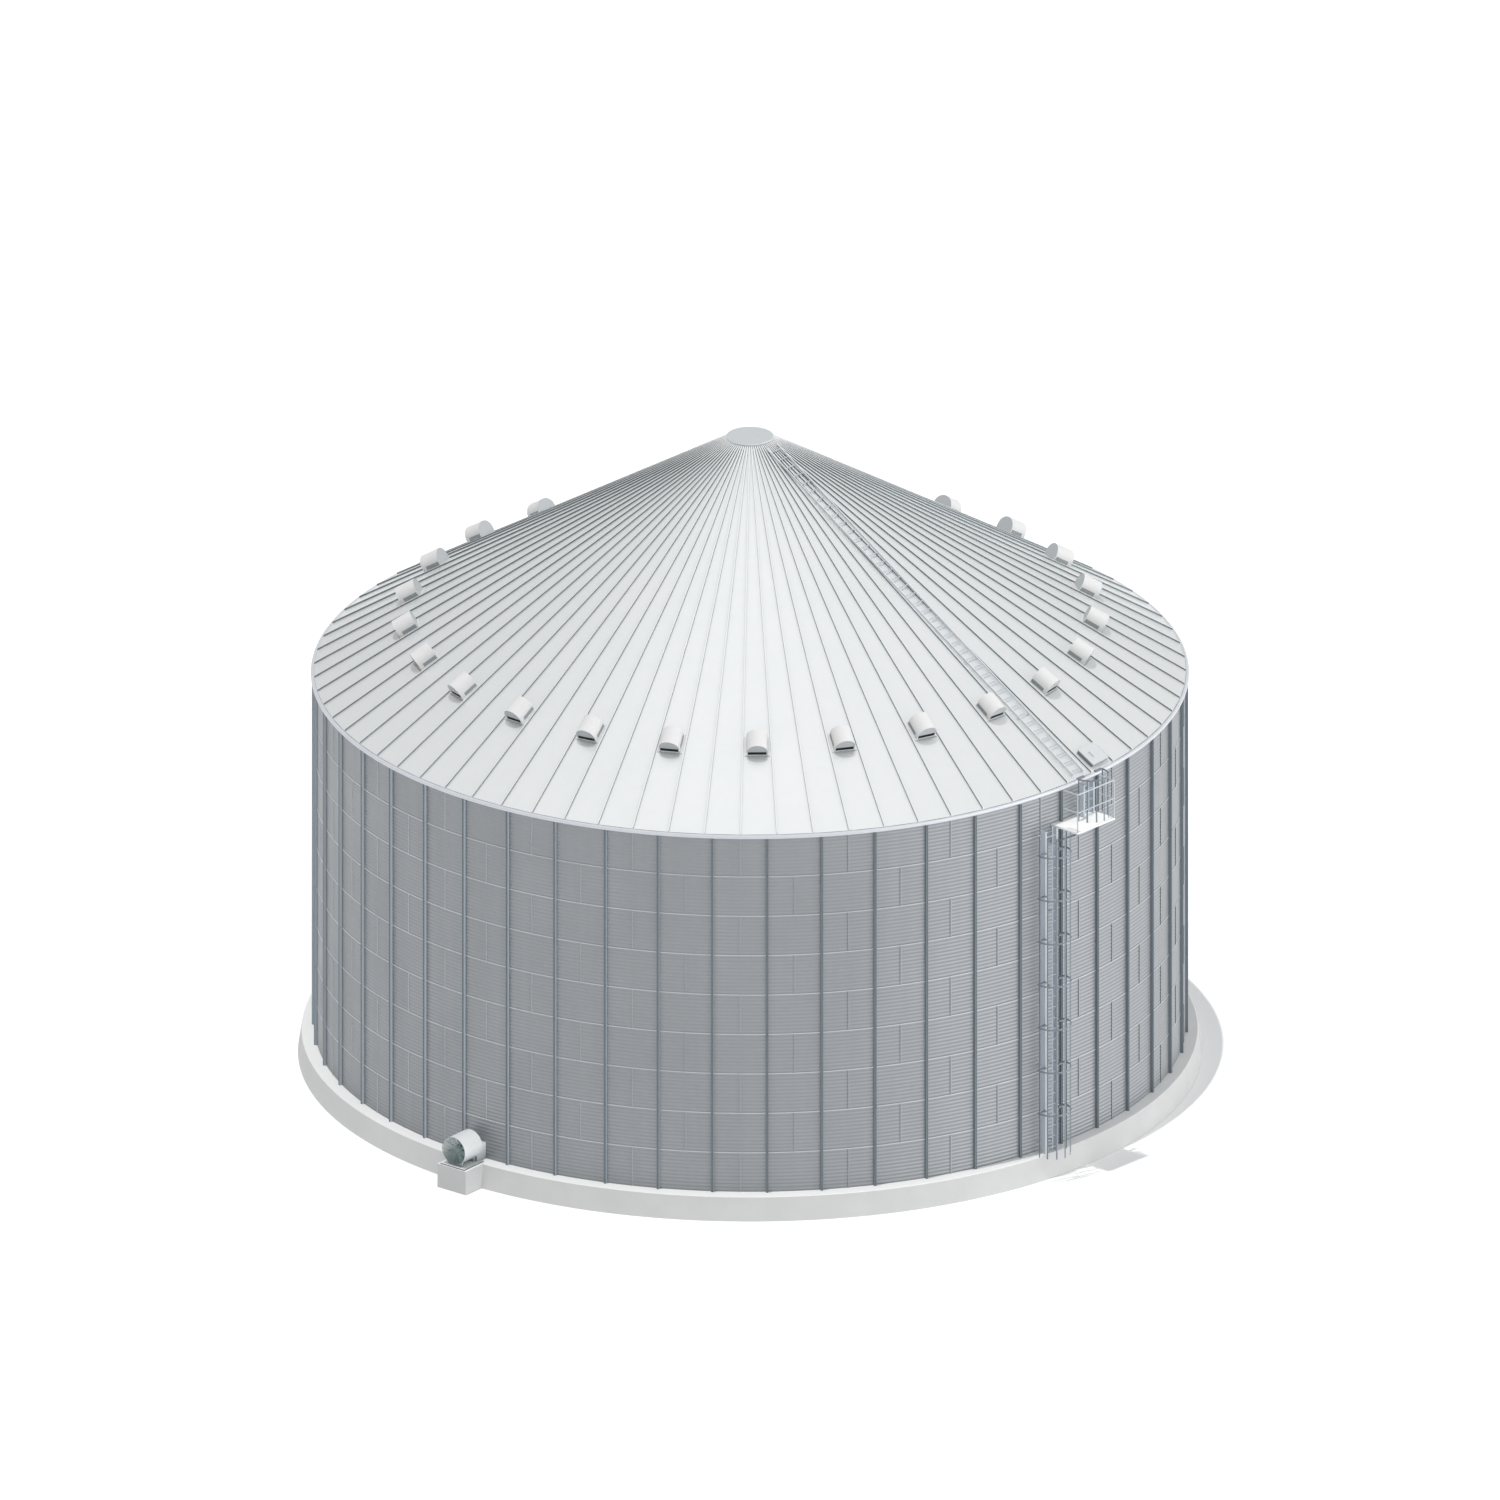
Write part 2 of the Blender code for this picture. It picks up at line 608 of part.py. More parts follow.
def build_hatch(steel):
    """Curb round the roof opening and its lid, hinged on the right-hand side."""
    bearing = hatch_bearing()
    half_x, half_y = HATCH_WIDTH / 2, HATCH_LENGTH / 2
    x_lines = (-half_x, HATCH_WALL - half_x, half_x - HATCH_WALL, half_x)
    y_lines = (-half_y, HATCH_WALL - half_y, half_y - HATCH_WALL, half_y)
    bm = cell_solid(
        (x_lines, y_lines, (0.0, HATCH_CURB)),
        lambda i, j, k: not (i == 1 and j == 1),
        lambda *p: Vector(p),
    )
    curb = add_object("hatch_curb", bm, steel)
    put_on_panel(curb, HATCH_RADIUS, bearing, SEAT)
    axis_x = half_x + HINGE_REACH
    axis_z = HATCH_CURB + SEAT + HINGE_KNUCKLE
    cheek = 0.010
    lug_x = (half_x - 0.005, half_x + 0.006, axis_x + cheek)
    lug_z = (HATCH_CURB - 0.03, HATCH_CURB - 0.001, axis_z + cheek)
    far_side = KNUCKLE_GAP + LUG_WIDTH
    for number, (low, high) in enumerate(KNUCKLE_SPANS):
        lugs = ((low - far_side, low - KNUCKLE_GAP), (high + KNUCKLE_GAP, high + far_side))
        for side, span in enumerate(lugs):
            lug = cell_solid((lug_x, span, lug_z), lambda i, j, k: i == 1 or k == 0, lambda *p: Vector(p))
            lug = cutter(f"hinge_lug_{number + 1}_{side + 1}", lug)
            put_on_panel(lug, HATCH_RADIUS, bearing, SEAT)
            combine(curb, lug, "UNION")
        reach = KNUCKLE_GAP + LUG_WIDTH / 2
        near, far = (Vector((axis_x, y, axis_z)) for y in (low - reach, high + reach))
        pin = tube(near, far, HINGE_PIN, 8)
        pin = cutter(f"hinge_pin_{number + 1}", pin)
        put_on_panel(pin, HATCH_RADIUS, bearing, SEAT)
        combine(curb, pin, "UNION")
    base = HATCH_CURB + SEAT
    pivot = bpy.data.objects.new("hatch_hinge", None)
    bpy.context.scene.collection.objects.link(pivot)
    put_on_panel(pivot, HATCH_RADIUS, bearing, SEAT)
    pivot.location += pivot.rotation_euler.to_matrix() @ Vector((axis_x, 0.0, axis_z))

    def lid_piece(x0, x1, y0, y1, z0, z1):
        return box(x0 - axis_x, x1 - axis_x, y0, y1, z0 - axis_z, z1 - axis_z)

    top = base + LID_THICKNESS
    edge = half_y + LID_OVERHANG
    lid = add_object("hatch_lid", lid_piece(-half_x - LID_OVERHANG, half_x, -edge, edge, base, top), steel)
    lid.parent = pivot
    tools = []
    for number, (low, high) in enumerate(KNUCKLE_SPANS):
        leaf = lid_piece(half_x - BITE, axis_x, low, high, base + LEAF_LIFT, axis_z + LEAF_RISE)
        barrel = tube(Vector((0, low, 0)), Vector((0, high, 0)), HINGE_KNUCKLE, 12, 0.5)
        bore = tube(Vector((0, low - 0.01, 0)), Vector((0, high + 0.01, 0)), HINGE_PIN + BORE_GAP, 12, 0.5)
        tools.append((f"lid_leaf_{number + 1}", leaf, "UNION"))
        tools.append((f"lid_barrel_{number + 1}", barrel, "UNION"))
        tools.append((f"lid_bore_{number + 1}", bore, "DIFFERENCE"))
    half_bar = HANDLE_BAR / 2
    half_leg = half_bar - 0.002
    half_grip = HANDLE_LENGTH / 2
    grip_low = top + HANDLE_LIFT
    left, right = HANDLE_PLACE - half_bar, HANDLE_PLACE + half_bar
    grip = lid_piece(left, right, -half_grip, half_grip, grip_low, grip_low + HANDLE_GRIP)
    tools.append(("lid_handle", grip, "UNION"))
    for side in (-1, 1):
        y = (half_grip - half_leg) * side
        left, right = HANDLE_PLACE - half_leg, HANDLE_PLACE + half_leg
        leg = lid_piece(left, right, y - half_leg, y + half_leg, top - 0.005, grip_low + 0.01)
        tools.append((f"lid_handle_leg_{side + 2}", leg, "UNION"))
    for name, bm, operation in tools:
        tool = cutter(name, bm)
        tool.parent = pivot
        combine(lid, tool, operation)


def ladder_solid(size, rung_span, legs, leg_length, place):
    """Ladder along the second axis, with two stiles, rungs between them and legs below them.

    size is its width, stile width, length and depth, rung_span the rungs' low and high faces,
    and legs the middles of the pairs of legs that reach leg_length below the stiles.
    """
    width, stile, length, depth = size
    rungs = []
    middle = FIRST_RUNG
    while middle + RUNG < length:
        rungs.append(middle)
        middle += LADDER_PITCH
    x_lines = (-width / 2, stile - width / 2, width / 2 - stile, width / 2)
    along = {0.0, length}
    for places, half in ((rungs, RUNG / 2), (legs, LEG / 2)):
        for middle in places:
            along |= {middle - half, middle + half}
    along = sorted(along)

    def filled(i, j, k):
        middle = (along[j] + along[j + 1]) / 2
        if k == 0:
            return i != 1 and any(abs(middle - leg) < LEG / 2 for leg in legs)
        return i != 1 or (k == 2 and any(abs(middle - rung) < RUNG / 2 for rung in rungs))

    lines = (x_lines, along, (-leg_length, 0.0, *rung_span, depth))
    return merge_flat_faces(cell_solid(lines, filled, place))


def build_roof_ladder(steel):
    """Ladder from the eave to the cap, standing clear of the ribs on pairs of short legs."""
    bearing = RIB_BEARING + 360.0 / PANELS * (HATCH_PANEL - 1)
    length = (ROOF_LADDER_FOOT - ROOF_LADDER_HEAD) / math.cos(PANEL_PITCH)
    lift = RIB_HEIGHT + ROOF_LADDER_LIFT
    bm = ladder_solid(
        (ROOF_LADDER_WIDTH, ROOF_LADDER_STILE, length, ROOF_LADDER_DEPTH),
        (ROOF_RUNG_LIFT, ROOF_RUNG_LIFT + RUNG),
        ROOF_LADDER_LEGS,
        lift,
        lambda x, y, z: Vector((x, y, z + lift)),
    )
    put_on_panel(add_object("roof_ladder", bm, steel), ROOF_LADDER_FOOT, bearing, SEAT)


def build_wall_ladder(name, bearing, foot, head, steel):
    """Upright ladder with deep stiles, on pairs of brackets that reach back to the wall."""
    depth = LADDER_OUTSIDE - LADDER_INSIDE
    leg_span = head - foot - 2 * LEG_INSET
    spaces = max(1, round(leg_span / LEG_GAP))
    legs = [LEG_INSET + leg_span * i / spaces for i in range(spaces + 1)]
    bm = ladder_solid(
        (LADDER_WIDTH, LADDER_STILE, head - foot, depth),
        (depth - RUNG_INSET, depth - RUNG_INSET + RUNG),
        legs,
        LADDER_INSIDE - WALL_RADIUS + BITE,
        lambda x, y, z: Vector((x, -LADDER_INSIDE - z, foot + y)),
    )
    combine(add_object(name, bm, steel, bearing), wall_clearance(f"{name}_clearance"), "DIFFERENCE")


def build_cage(name, bearing, foot, head, hoops, steel):
    """Half-round safety cage: upright flat bars inside flat hoops."""
    half_bar = math.degrees(CAGE_BAR_WIDTH / 2 / CAGE_RADIUS)
    turns = []
    for i in range(CAGE_BARS):
        middle = -90.0 + 180.0 * i / (CAGE_BARS - 1)
        turns += [middle - half_bar, middle + half_bar]
    heights = sorted({foot, head} | {h + s * HOOP_HEIGHT / 2 for h in hoops for s in (-1, 1)})
    layers = (CAGE_RADIUS - CAGE_BAR_DEPTH, CAGE_RADIUS, CAGE_RADIUS + CAGE_BAR_DEPTH)

    def filled(i, j, k):
        if j == 0:
            return i % 2 == 0
        middle = (heights[k] + heights[k + 1]) / 2
        return any(abs(middle - hoop) < HOOP_HEIGHT / 2 for hoop in hoops)

    def place(turn, radius, height):
        angle = math.radians(turn)
        return Vector((radius * math.sin(angle), -CAGE_CENTRE - radius * math.cos(angle), height))

    bm = merge_flat_faces(cell_solid((turns, layers, heights), filled, place))
    cage = add_object(name, bm, steel, bearing)
    for number, (hoop, side) in enumerate(product(hoops, (-1, 1))):
        near, far = sorted((side * (LADDER_WIDTH / 2 + SEAT), side * (CAGE_RADIUS - 0.002)))
        front, back = -CAGE_CENTRE - ARM_FRONT, -LADDER_OUTSIDE + ARM_BACK
        arm = box(near, far, front, back, hoop - ARM_HEIGHT / 2, hoop + ARM_HEIGHT / 2)
        combine(cage, cutter(f"{name}_arm_{number + 1}", arm, bearing), "UNION")


def build_platform(steel, pale):
    """Deck on two knee braces, with a railing on its outer and end sides."""
    bearing = (DECK_LEFT + DECK_RIGHT) / 2
    half = math.radians(DECK_RIGHT - DECK_LEFT) / 2
    reach = DECK_OUTSIDE * math.sin(half)
    outside = DECK_OUTSIDE * math.cos(half)
    in_wall = WALL_RADIUS - DECK_BITE
    bm = box(-reach, reach, -outside, -in_wall, DECK_TOP - DECK_THICKNESS, DECK_TOP)
    deck = add_object("platform_deck", bm, pale, bearing)
    for side in (-1, 1):
        x = side * (reach - KNEE_INSET)
        left, right = x - KNEE_WIDTH / 2, x + KNEE_WIDTH / 2
        low, high = outside - KNEE_DEPTH, WALL_RADIUS + KNEE_DEPTH
        knee = cell_solid(
            ((left, right), (0.0, 1.0), (0.0, KNEE_DEPTH)),
            lambda *cell: True,
            lambda a, b, c: Vector((a, -(low + b * (high - low)), DECK_TOP - KNEE_HANG - KNEE_DROP * b + c)),
        )
        combine(deck, cutter(f"knee_brace_{side + 2}", knee, bearing), "UNION")
        leg = box(left, right, -high - BITE, -in_wall, DECK_TOP - KNEE_DROP - KNEE_TAIL, DECK_TOP - BITE)
        combine(deck, cutter(f"brace_leg_{side + 2}", leg, bearing), "UNION")
    combine(deck, wall_clearance("deck_clearance"), "DIFFERENCE")
    rail = RAIL_TUBE / 2
    foot = DECK_TOP + SEAT
    top = DECK_TOP + RAIL_HEIGHT
    x = reach - rail
    y = outside - rail
    corner = box(-x - rail, -x + rail, -y - rail, -y + rail, foot, top)
    railing = add_object("platform_railing", corner, steel, bearing)
    bars = [box(x - rail, x + rail, -y - rail, -y + rail, foot, top)]
    for height in (top - rail, DECK_TOP + MID_RAIL):
        bars.append(box(-x, x, -y - rail * 0.9, -y + rail * 0.9, height - rail, height + rail * 0.99))
        for side in (-1, 1):
            a, b = sorted((side * (x - rail * 0.9), side * (x + rail * 0.9)))
            bars.append(box(a, b, -y, -y + SIDE_RAIL, height - rail * 0.95, height + rail * 0.9))
    for number, bar in enumerate(bars):
        combine(railing, cutter(f"railing_bar_{number + 1}", bar, bearing), "UNION")


def fan_bar(start, end, radius, sides):
    """Round bar on the fan's axis between two distances from the silo's axis."""
    return tube(Vector((0, -start, FAN_AXIS)), Vector((0, -end, FAN_AXIS)), radius, sides, 0.5)


def build_fan_base(concrete, dark):
    """Concrete pad poured against the foundation ring, and the steel plate on it."""
    pad = box(-PAD_WIDTH / 2, PAD_WIDTH / 2, -PAD_OUTSIDE, -PAD_INSIDE, 0.0, RING_TOP)
    pad = add_object("fan_pad", pad, concrete, FAN_BEARING)
    beyond = 0.1
    slant = (RING_FOOT_RADIUS - RING_TOP_RADIUS) / RING_TOP * beyond
    clearance = (
        (beyond, -beyond),
        (RING_FOOT_RADIUS + slant + SEAT, -beyond),
        (RING_TOP_RADIUS - slant + SEAT, RING_TOP + beyond),
        (beyond, RING_TOP + beyond),
    )
    combine(pad, cutter("ring_clearance", lathe(clearance, POSTS * 2)), "DIFFERENCE")
    half, top = BASE_WIDTH / 2, RING_TOP + BASE_THICKNESS
    plate = box(-half, half, -BASE_OUTSIDE, -BASE_INSIDE, RING_TOP + SEAT, top)
    add_object("fan_base", plate, dark, FAN_BEARING)


def duct_outline():
    """Outline, as (right, height), of the way out of the housing into the duct."""
    radius = FAN_RADIUS - FAN_SHEET - REAR_LIP
    half = DUCT_WIDTH / 2 - DUCT_SHEET
    top = DUCT_TOP - DUCT_SHEET
    side = math.acos(half / radius)
    steps = 12
    outline = [(half, top)]
    for i in range(steps + 1):
        angle = side + (math.pi - 2 * side) * i / steps
        outline.append((radius * math.cos(angle), FAN_AXIS - radius * math.sin(angle)))
    return outline + [(-half, top)]


def build_housing(galvanised):
    """Round housing on two feet, with a rear plate that is open into the duct."""
    housing = fan_bar(FAN_FRONT, FAN_BACK, FAN_RADIUS, FAN_SIDES)
    housing = add_object("fan_housing", housing, galvanised, FAN_BEARING, smooth=True)
    half, sole = FOOT_WIDTH / 2, RING_TOP + BASE_THICKNESS + SEAT
    for number, out in enumerate(FOOT_PLACES):
        front, back = -out - FOOT_THICKNESS / 2, -out + FOOT_THICKNESS / 2
        foot = box(-half, half, front, back, sole, FAN_AXIS - FAN_RADIUS + FOOT_OVERLAP)
        combine(housing, cutter(f"fan_foot_{number + 1}", foot, FAN_BEARING), "UNION")
    bore = fan_bar(FAN_FRONT + 0.1, FAN_BACK + FAN_SHEET, FAN_RADIUS - FAN_SHEET, FAN_SIDES)
    combine(housing, cutter("fan_bore", bore, FAN_BEARING), "DIFFERENCE")
    bm = bmesh.new()
    ends = (-FAN_BACK - 2 * FAN_SHEET, -FAN_BACK + FAN_SHEET)
    near, far = ([bm.verts.new((x, y, z)) for x, z in duct_outline()] for y in ends)
    for i in range(len(near)):
        j = (i + 1) % len(near)
        bm.faces.new((near[i], near[j], far[j], far[i]))
    bm.faces.new(near)
    bm.faces.new(far[::-1])
    combine(housing, cutter("housing_outlet", bm, FAN_BEARING), "DIFFERENCE")


def build_motor(dark):
    """Motor on the housing's axis, held by four arms, with its shaft towards the front."""
    motor = add_object(
        "fan_motor", fan_bar(MOTOR_FRONT, MOTOR_BACK, MOTOR_RADIUS, 16), dark, FAN_BEARING, smooth=True
    )
    inside = (FAN_RADIUS - FAN_SHEET) * math.cos(math.pi / FAN_SIDES) - SEAT
    middle = Vector((0, MOTOR_ARM_PLACE - MOTOR_FRONT, FAN_AXIS))
    for number in range(MOTOR_ARMS):
        angle = 2 * math.pi * (number + 0.5) / MOTOR_ARMS
        spoke = Vector((math.cos(angle), 0, math.sin(angle)))
        arm = tube(middle + spoke * MOTOR_RADIUS / 2, middle + spoke * inside, ARM_RADIUS, 4, 0.5)
        combine(motor, cutter(f"motor_arm_{number + 1}", arm, FAN_BEARING), "UNION")
    shaft = fan_bar(SHAFT_FRONT, MOTOR_FRONT - BITE, SHAFT_RADIUS, 16)
    combine(motor, cutter("motor_shaft", shaft, FAN_BEARING), "UNION")


def build_impeller(dull):
    """Hub with its bore and eight flat pitched blades, turning about the fan's axis."""
    half_hub = HUB_LENGTH / 2
    pivot = bpy.data.objects.new("impeller_axis", None)
    pivot.rotation_euler.z = math.radians(FAN_BEARING)
    pivot.location = bearing_point(IMPELLER_PLACE, FAN_BEARING, FAN_AXIS)
    bpy.context.scene.collection.objects.link(pivot)
    hub = tube(Vector((0, -half_hub, 0)), Vector((0, half_hub, 0)), HUB_RADIUS, 24, 0.5)
    hub = add_object("fan_impeller", hub, dull, smooth=True)
    hub.parent = pivot
    pitch = math.radians(BLADE_PITCH)
    root = HUB_RADIUS - BITE
    axial = Vector((0, 1, 0))
    for number in range(BLADES):
        angle = 2 * math.pi * (number + 0.5) / BLADES
        out = Vector((math.cos(angle), 0, math.sin(angle)))
        across = Vector((-math.sin(angle), 0, math.cos(angle)))
        chord = across * math.cos(pitch) + axial * math.sin(pitch)
        normal = axial * math.cos(pitch) - across * math.sin(pitch)

        def blade_point(width, length, thickness, out=out, chord=chord, normal=normal):
            share = BLADE_ROOT_SHARE + (1 - BLADE_ROOT_SHARE) * length
            return out * (root + length * (BLADE_TIP - root)) + chord * width * share + normal * thickness

        halves = [(-size / 2, size / 2) for size in (BLADE_WIDTH, BLADE_THICKNESS)]
        blade = cell_solid((halves[0], (0.0, 1.0), halves[1]), lambda *cell: True, blade_point)
        tool = cutter(f"blade_{number + 1}", blade)
        tool.parent = pivot
        combine(hub, tool, "UNION")
    end = half_hub + 0.01
    bore = tube(Vector((0, -end, 0)), Vector((0, end, 0)), SHAFT_RADIUS + BORE_GAP, 16, 0.5)
    bore = cutter("hub_bore", bore)
    bore.parent = pivot
    combine(hub, bore, "DIFFERENCE")


def build_guard(dark):
    """Round wire guard on the housing's mouth: rings on radial bars."""
    radii = [GUARD_HOLE]
    for ring in GUARD_RINGS:
        radii += [ring - GUARD_WIRE / 2, ring + GUARD_WIRE / 2]
    radii += [FAN_RADIUS - GUARD_RIM, FAN_RADIUS]
    turns = []
    bar_turns = (-GUARD_BAR_TURN / 2, GUARD_BAR_TURN / 2, 120.0 / GUARD_BARS, 240.0 / GUARD_BARS)
    for i in range(GUARD_BARS):
        turns += [360.0 * i / GUARD_BARS + turn for turn in bar_turns]
    turns.append(turns[0] + 360.0)
    layers = (FAN_FRONT + SEAT, FAN_FRONT + GUARD_LAYER, FAN_FRONT + 2 * GUARD_LAYER)
    bm = cell_solid(
        (turns, layers, radii),
        lambda i, j, k: (i % 4 == 0 and j == 1) or (k % 2 == 1 and j == 0) or k == len(radii) - 2,
        lambda turn, out, radius: Vector((
            radius * math.sin(math.radians(turn)),
            -out,
            FAN_AXIS + radius * math.cos(math.radians(turn)),
        )),
        full_turn=True,
    )
    add_object("fan_guard", bm, dark, FAN_BEARING)


def build_duct(galvanised):
    """Rectangular sheet box from the wall opening to under the housing, cut to the housing's round."""
    half_turn = (DUCT_WIDTH / 2 - DUCT_SHEET) / WALL_RADIUS
    wall_end = (WALL_RADIUS + WALL_DEPTH / 2) * math.cos(half_turn) + SEAT
    half = DUCT_WIDTH / 2
    sheet = DUCT_SHEET
    outer = box(-half, half, -DUCT_OUTSIDE, -wall_end, DUCT_LOW, DUCT_TOP)
    duct = add_object("fan_duct", outer, galvanised, FAN_BEARING)
    inner = box(
        sheet - half, half - sheet, sheet - DUCT_OUTSIDE, 0.1 - wall_end, DUCT_LOW + sheet, DUCT_TOP - sheet
    )
    combine(duct, cutter("duct_inside", inner, FAN_BEARING), "DIFFERENCE")
    housing = fan_bar(DUCT_OUTSIDE + 0.1, FAN_BACK - SEAT, FAN_RADIUS + SEAT, FAN_SIDES)
    combine(duct, cutter("duct_round", housing, FAN_BEARING), "DIFFERENCE")


def main():
    clear_scene()
    concrete = finish("pale concrete", (0.66, 0.66, 0.64), 0.85, 0.0)
    wall_steel = finish("galvanised wall steel", (0.38, 0.41, 0.43), 0.45, 0.6)
    roof_steel = finish("bright roof steel", (0.72, 0.74, 0.76), 0.40, 0.5)
    rail_steel = finish("galvanised rail steel", (0.42, 0.46, 0.50), 0.45, 0.6)
    deck_steel = finish("white deck steel", (0.82, 0.82, 0.80), 0.50, 0.2)
    fan_steel = finish("galvanised fan steel", (0.60, 0.62, 0.64), 0.40, 0.6)
    dark_steel = finish("dark painted steel", (0.10, 0.11, 0.12), 0.50, 0.3)
    blade_alloy = finish("grey green alloy", (0.25, 0.33, 0.30), 0.45, 0.5)
    build_foundation(concrete)
    build_wall(wall_steel)
    build_eave(roof_steel)
    build_roof(roof_steel)
    build_cap(roof_steel)
    build_vents(roof_steel)
    build_hatch(roof_steel)
    build_roof_ladder(rail_steel)
    hoops = [FIRST_HOOP + HOOP_PITCH * i for i in range(LOWER_HOOPS)]
    build_wall_ladder("wall_ladder", LADDER_BEARING, RING_TOP + SEAT, DECK_TOP, rail_steel)
    build_cage("ladder_cage", LADDER_BEARING, RING_TOP, DECK_TOP - DECK_THICKNESS - 0.002, hoops, rail_steel)
    build_platform(rail_steel, deck_steel)
    deck = DECK_TOP + SEAT
    build_wall_ladder("upper_ladder", UPPER_BEARING, deck, UPPER_LADDER_TOP, rail_steel)
    build_cage("upper_cage", UPPER_BEARING, deck, UPPER_CAGE_TOP, [UPPER_CAGE_TOP - 0.025], rail_steel)
    build_fan_base(concrete, dark_steel)
    build_housing(fan_steel)
    build_motor(dark_steel)
    build_impeller(blade_alloy)
    build_guard(dark_steel)
    build_duct(fan_steel)


main()
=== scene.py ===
"""Grain silo of bolted corrugated steel on a concrete ring, dressed piece by piece.

Everything is in metres, Z up, with the ground at zero and the silo's axis at the origin. A bearing
is an angle in degrees round the silo: 0 faces -Y and grows towards +X. Small pieces are modelled as
if they stood at the front, where outwards is -Y, and are then turned to their bearing.
"""

import math

import bmesh
import bpy
from mathutils import Matrix, Vector


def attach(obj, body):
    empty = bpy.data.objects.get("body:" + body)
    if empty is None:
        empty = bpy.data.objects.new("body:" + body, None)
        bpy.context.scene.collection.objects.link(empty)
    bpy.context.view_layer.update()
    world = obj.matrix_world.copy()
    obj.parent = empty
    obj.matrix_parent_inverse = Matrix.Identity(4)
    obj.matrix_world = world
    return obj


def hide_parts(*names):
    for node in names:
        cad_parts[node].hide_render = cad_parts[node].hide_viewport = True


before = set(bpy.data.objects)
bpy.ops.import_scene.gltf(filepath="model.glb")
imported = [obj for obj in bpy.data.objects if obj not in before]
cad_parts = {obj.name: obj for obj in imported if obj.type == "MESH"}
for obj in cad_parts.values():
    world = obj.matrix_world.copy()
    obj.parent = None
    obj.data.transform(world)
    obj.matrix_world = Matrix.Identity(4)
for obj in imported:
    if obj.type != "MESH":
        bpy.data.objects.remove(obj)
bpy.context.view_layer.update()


# Foundation ring, floor slab and fan pad
# Reinforced concrete cast in place against smooth forms. The ring's outer face leans in a little,
# its top edge is chamfered, and the fan's pad is a block cast against it.

RING_TOP = 0.663
RING_TOP_RADIUS = 11.776
RING_FOOT_RADIUS = 11.876
RING_INSIDE_RADIUS = 11.18
RING_CHAMFER = 0.020
RING_STEPS = 300
PAD_CHAMFER = 0.012
TOP_FACES = (0.5, 0.8)
# Level tops are painted paler than the sides: painted light from above.
TOP_PAINTED_LIGHT_PALE = "#E5E5E4"
TOP_PAINTED_LIGHT_GREY = "#DDDEDD"


def linear(colour):
    """An sRGB hex colour as linear red, green, blue and alpha."""
    parts = [int(colour[i : i + 2], 16) / 255 for i in (1, 3, 5)]
    return (*(p / 12.92 if p <= 0.04045 else ((p + 0.055) / 1.055) ** 2.4 for p in parts), 1.0)


def add(tree, kind, settings=None, links=None):
    """Adds a node; a setting names one of its inputs or properties, and a link the input it feeds."""
    made = tree.nodes.new(kind)
    for key, value in (settings or {}).items():
        if hasattr(made, str(key)):
            setattr(made, key, value)
    inputs = {number: socket for number, socket in enumerate(made.inputs)}
    for number, socket in reversed(list(enumerate(made.inputs))):
        if socket.enabled:
            inputs[socket.name] = socket
    for key, value in (settings or {}).items():
        if not hasattr(made, str(key)):
            inputs[key].default_value = value
    for key, source in (links or {}).items():
        tree.links.new(source, inputs[key])
    return made


def blank_material(name, **shader_settings):
    """A new material with its Principled shader, and the shader's tree and object coordinates."""
    made = bpy.data.materials.new(name)
    made.use_nodes = True
    tree = made.node_tree
    shader = tree.nodes["Principled BSDF"]
    for key, value in shader_settings.items():
        shader.inputs[key.replace("_", " ").title()].default_value = value
    place = add(tree, "ShaderNodeTexCoord").outputs["Object"]
    return made, tree, shader, place


def blend_colours(tree, factor, first, second):
    """A colour between two hex colours, by a factor from 0 to 1."""
    mix = add(tree, "ShaderNodeMix", {"data_type": "RGBA"})
    mix.inputs[6].default_value = linear(first)
    mix.inputs[7].default_value = linear(second)
    tree.links.new(factor, mix.inputs[0])
    return mix.outputs[2]


def tint_upwards(tree, shader, source, low, high, below, above):
    """Paints the shader from one colour to another as the normal's or the place's Z passes a range.

    A colour is a hex string or the socket of a colour that is already there.
    """
    facts = add(tree, "ShaderNodeNewGeometry").outputs[source]
    upwards = add(tree, "ShaderNodeSeparateXYZ", None, {0: facts}).outputs["Z"]
    share = add(tree, "ShaderNodeMapRange", {"From Min": low, "From Max": high}, {"Value": upwards})
    tone = add(tree, "ShaderNodeMix", {"data_type": "RGBA"}, {0: share.outputs[0]})
    for number, colour in ((6, below), (7, above)):
        if isinstance(colour, str):
            tone.inputs[number].default_value = linear(colour)
        else:
            tree.links.new(colour, tone.inputs[number])
    tree.links.new(tone.outputs[2], shader.inputs["Base Color"])


def cast_concrete(name, grey, pale):
    """Cloudy grey with a gritty matt skin; level tops are painted paler, as painted light from above."""
    made, tree, shader, place = blank_material(name, roughness=0.88)
    curing = {"Scale": 0.9, "Detail": 5.0, "Roughness": 0.6}
    clouds = add(tree, "ShaderNodeTexNoise", curing, {"Vector": place}).outputs["Fac"]
    grit = add(tree, "ShaderNodeTexNoise", {"Scale": 160.0, "Detail": 2.0}, {"Vector": place})
    formed = blend_colours(tree, clouds, grey, pale)
    # Upward-facing faces take the paler tones: painted light from above.
    painted_light_top = blend_colours(tree, clouds, TOP_PAINTED_LIGHT_GREY, TOP_PAINTED_LIGHT_PALE)
    tint_upwards(tree, shader, "Normal", *TOP_FACES, formed, painted_light_top)
    skin = {"Strength": 0.25, "Distance": 0.002}
    bump = add(tree, "ShaderNodeBump", skin, {"Height": grit.outputs["Fac"]})
    tree.links.new(bump.outputs["Normal"], shader.inputs["Normal"])
    return made


def point_at(bearing, radius, height):
    """Point at a bearing round the silo's axis."""
    angle = math.radians(bearing)
    return Vector((radius * math.sin(angle), -radius * math.cos(angle), height))


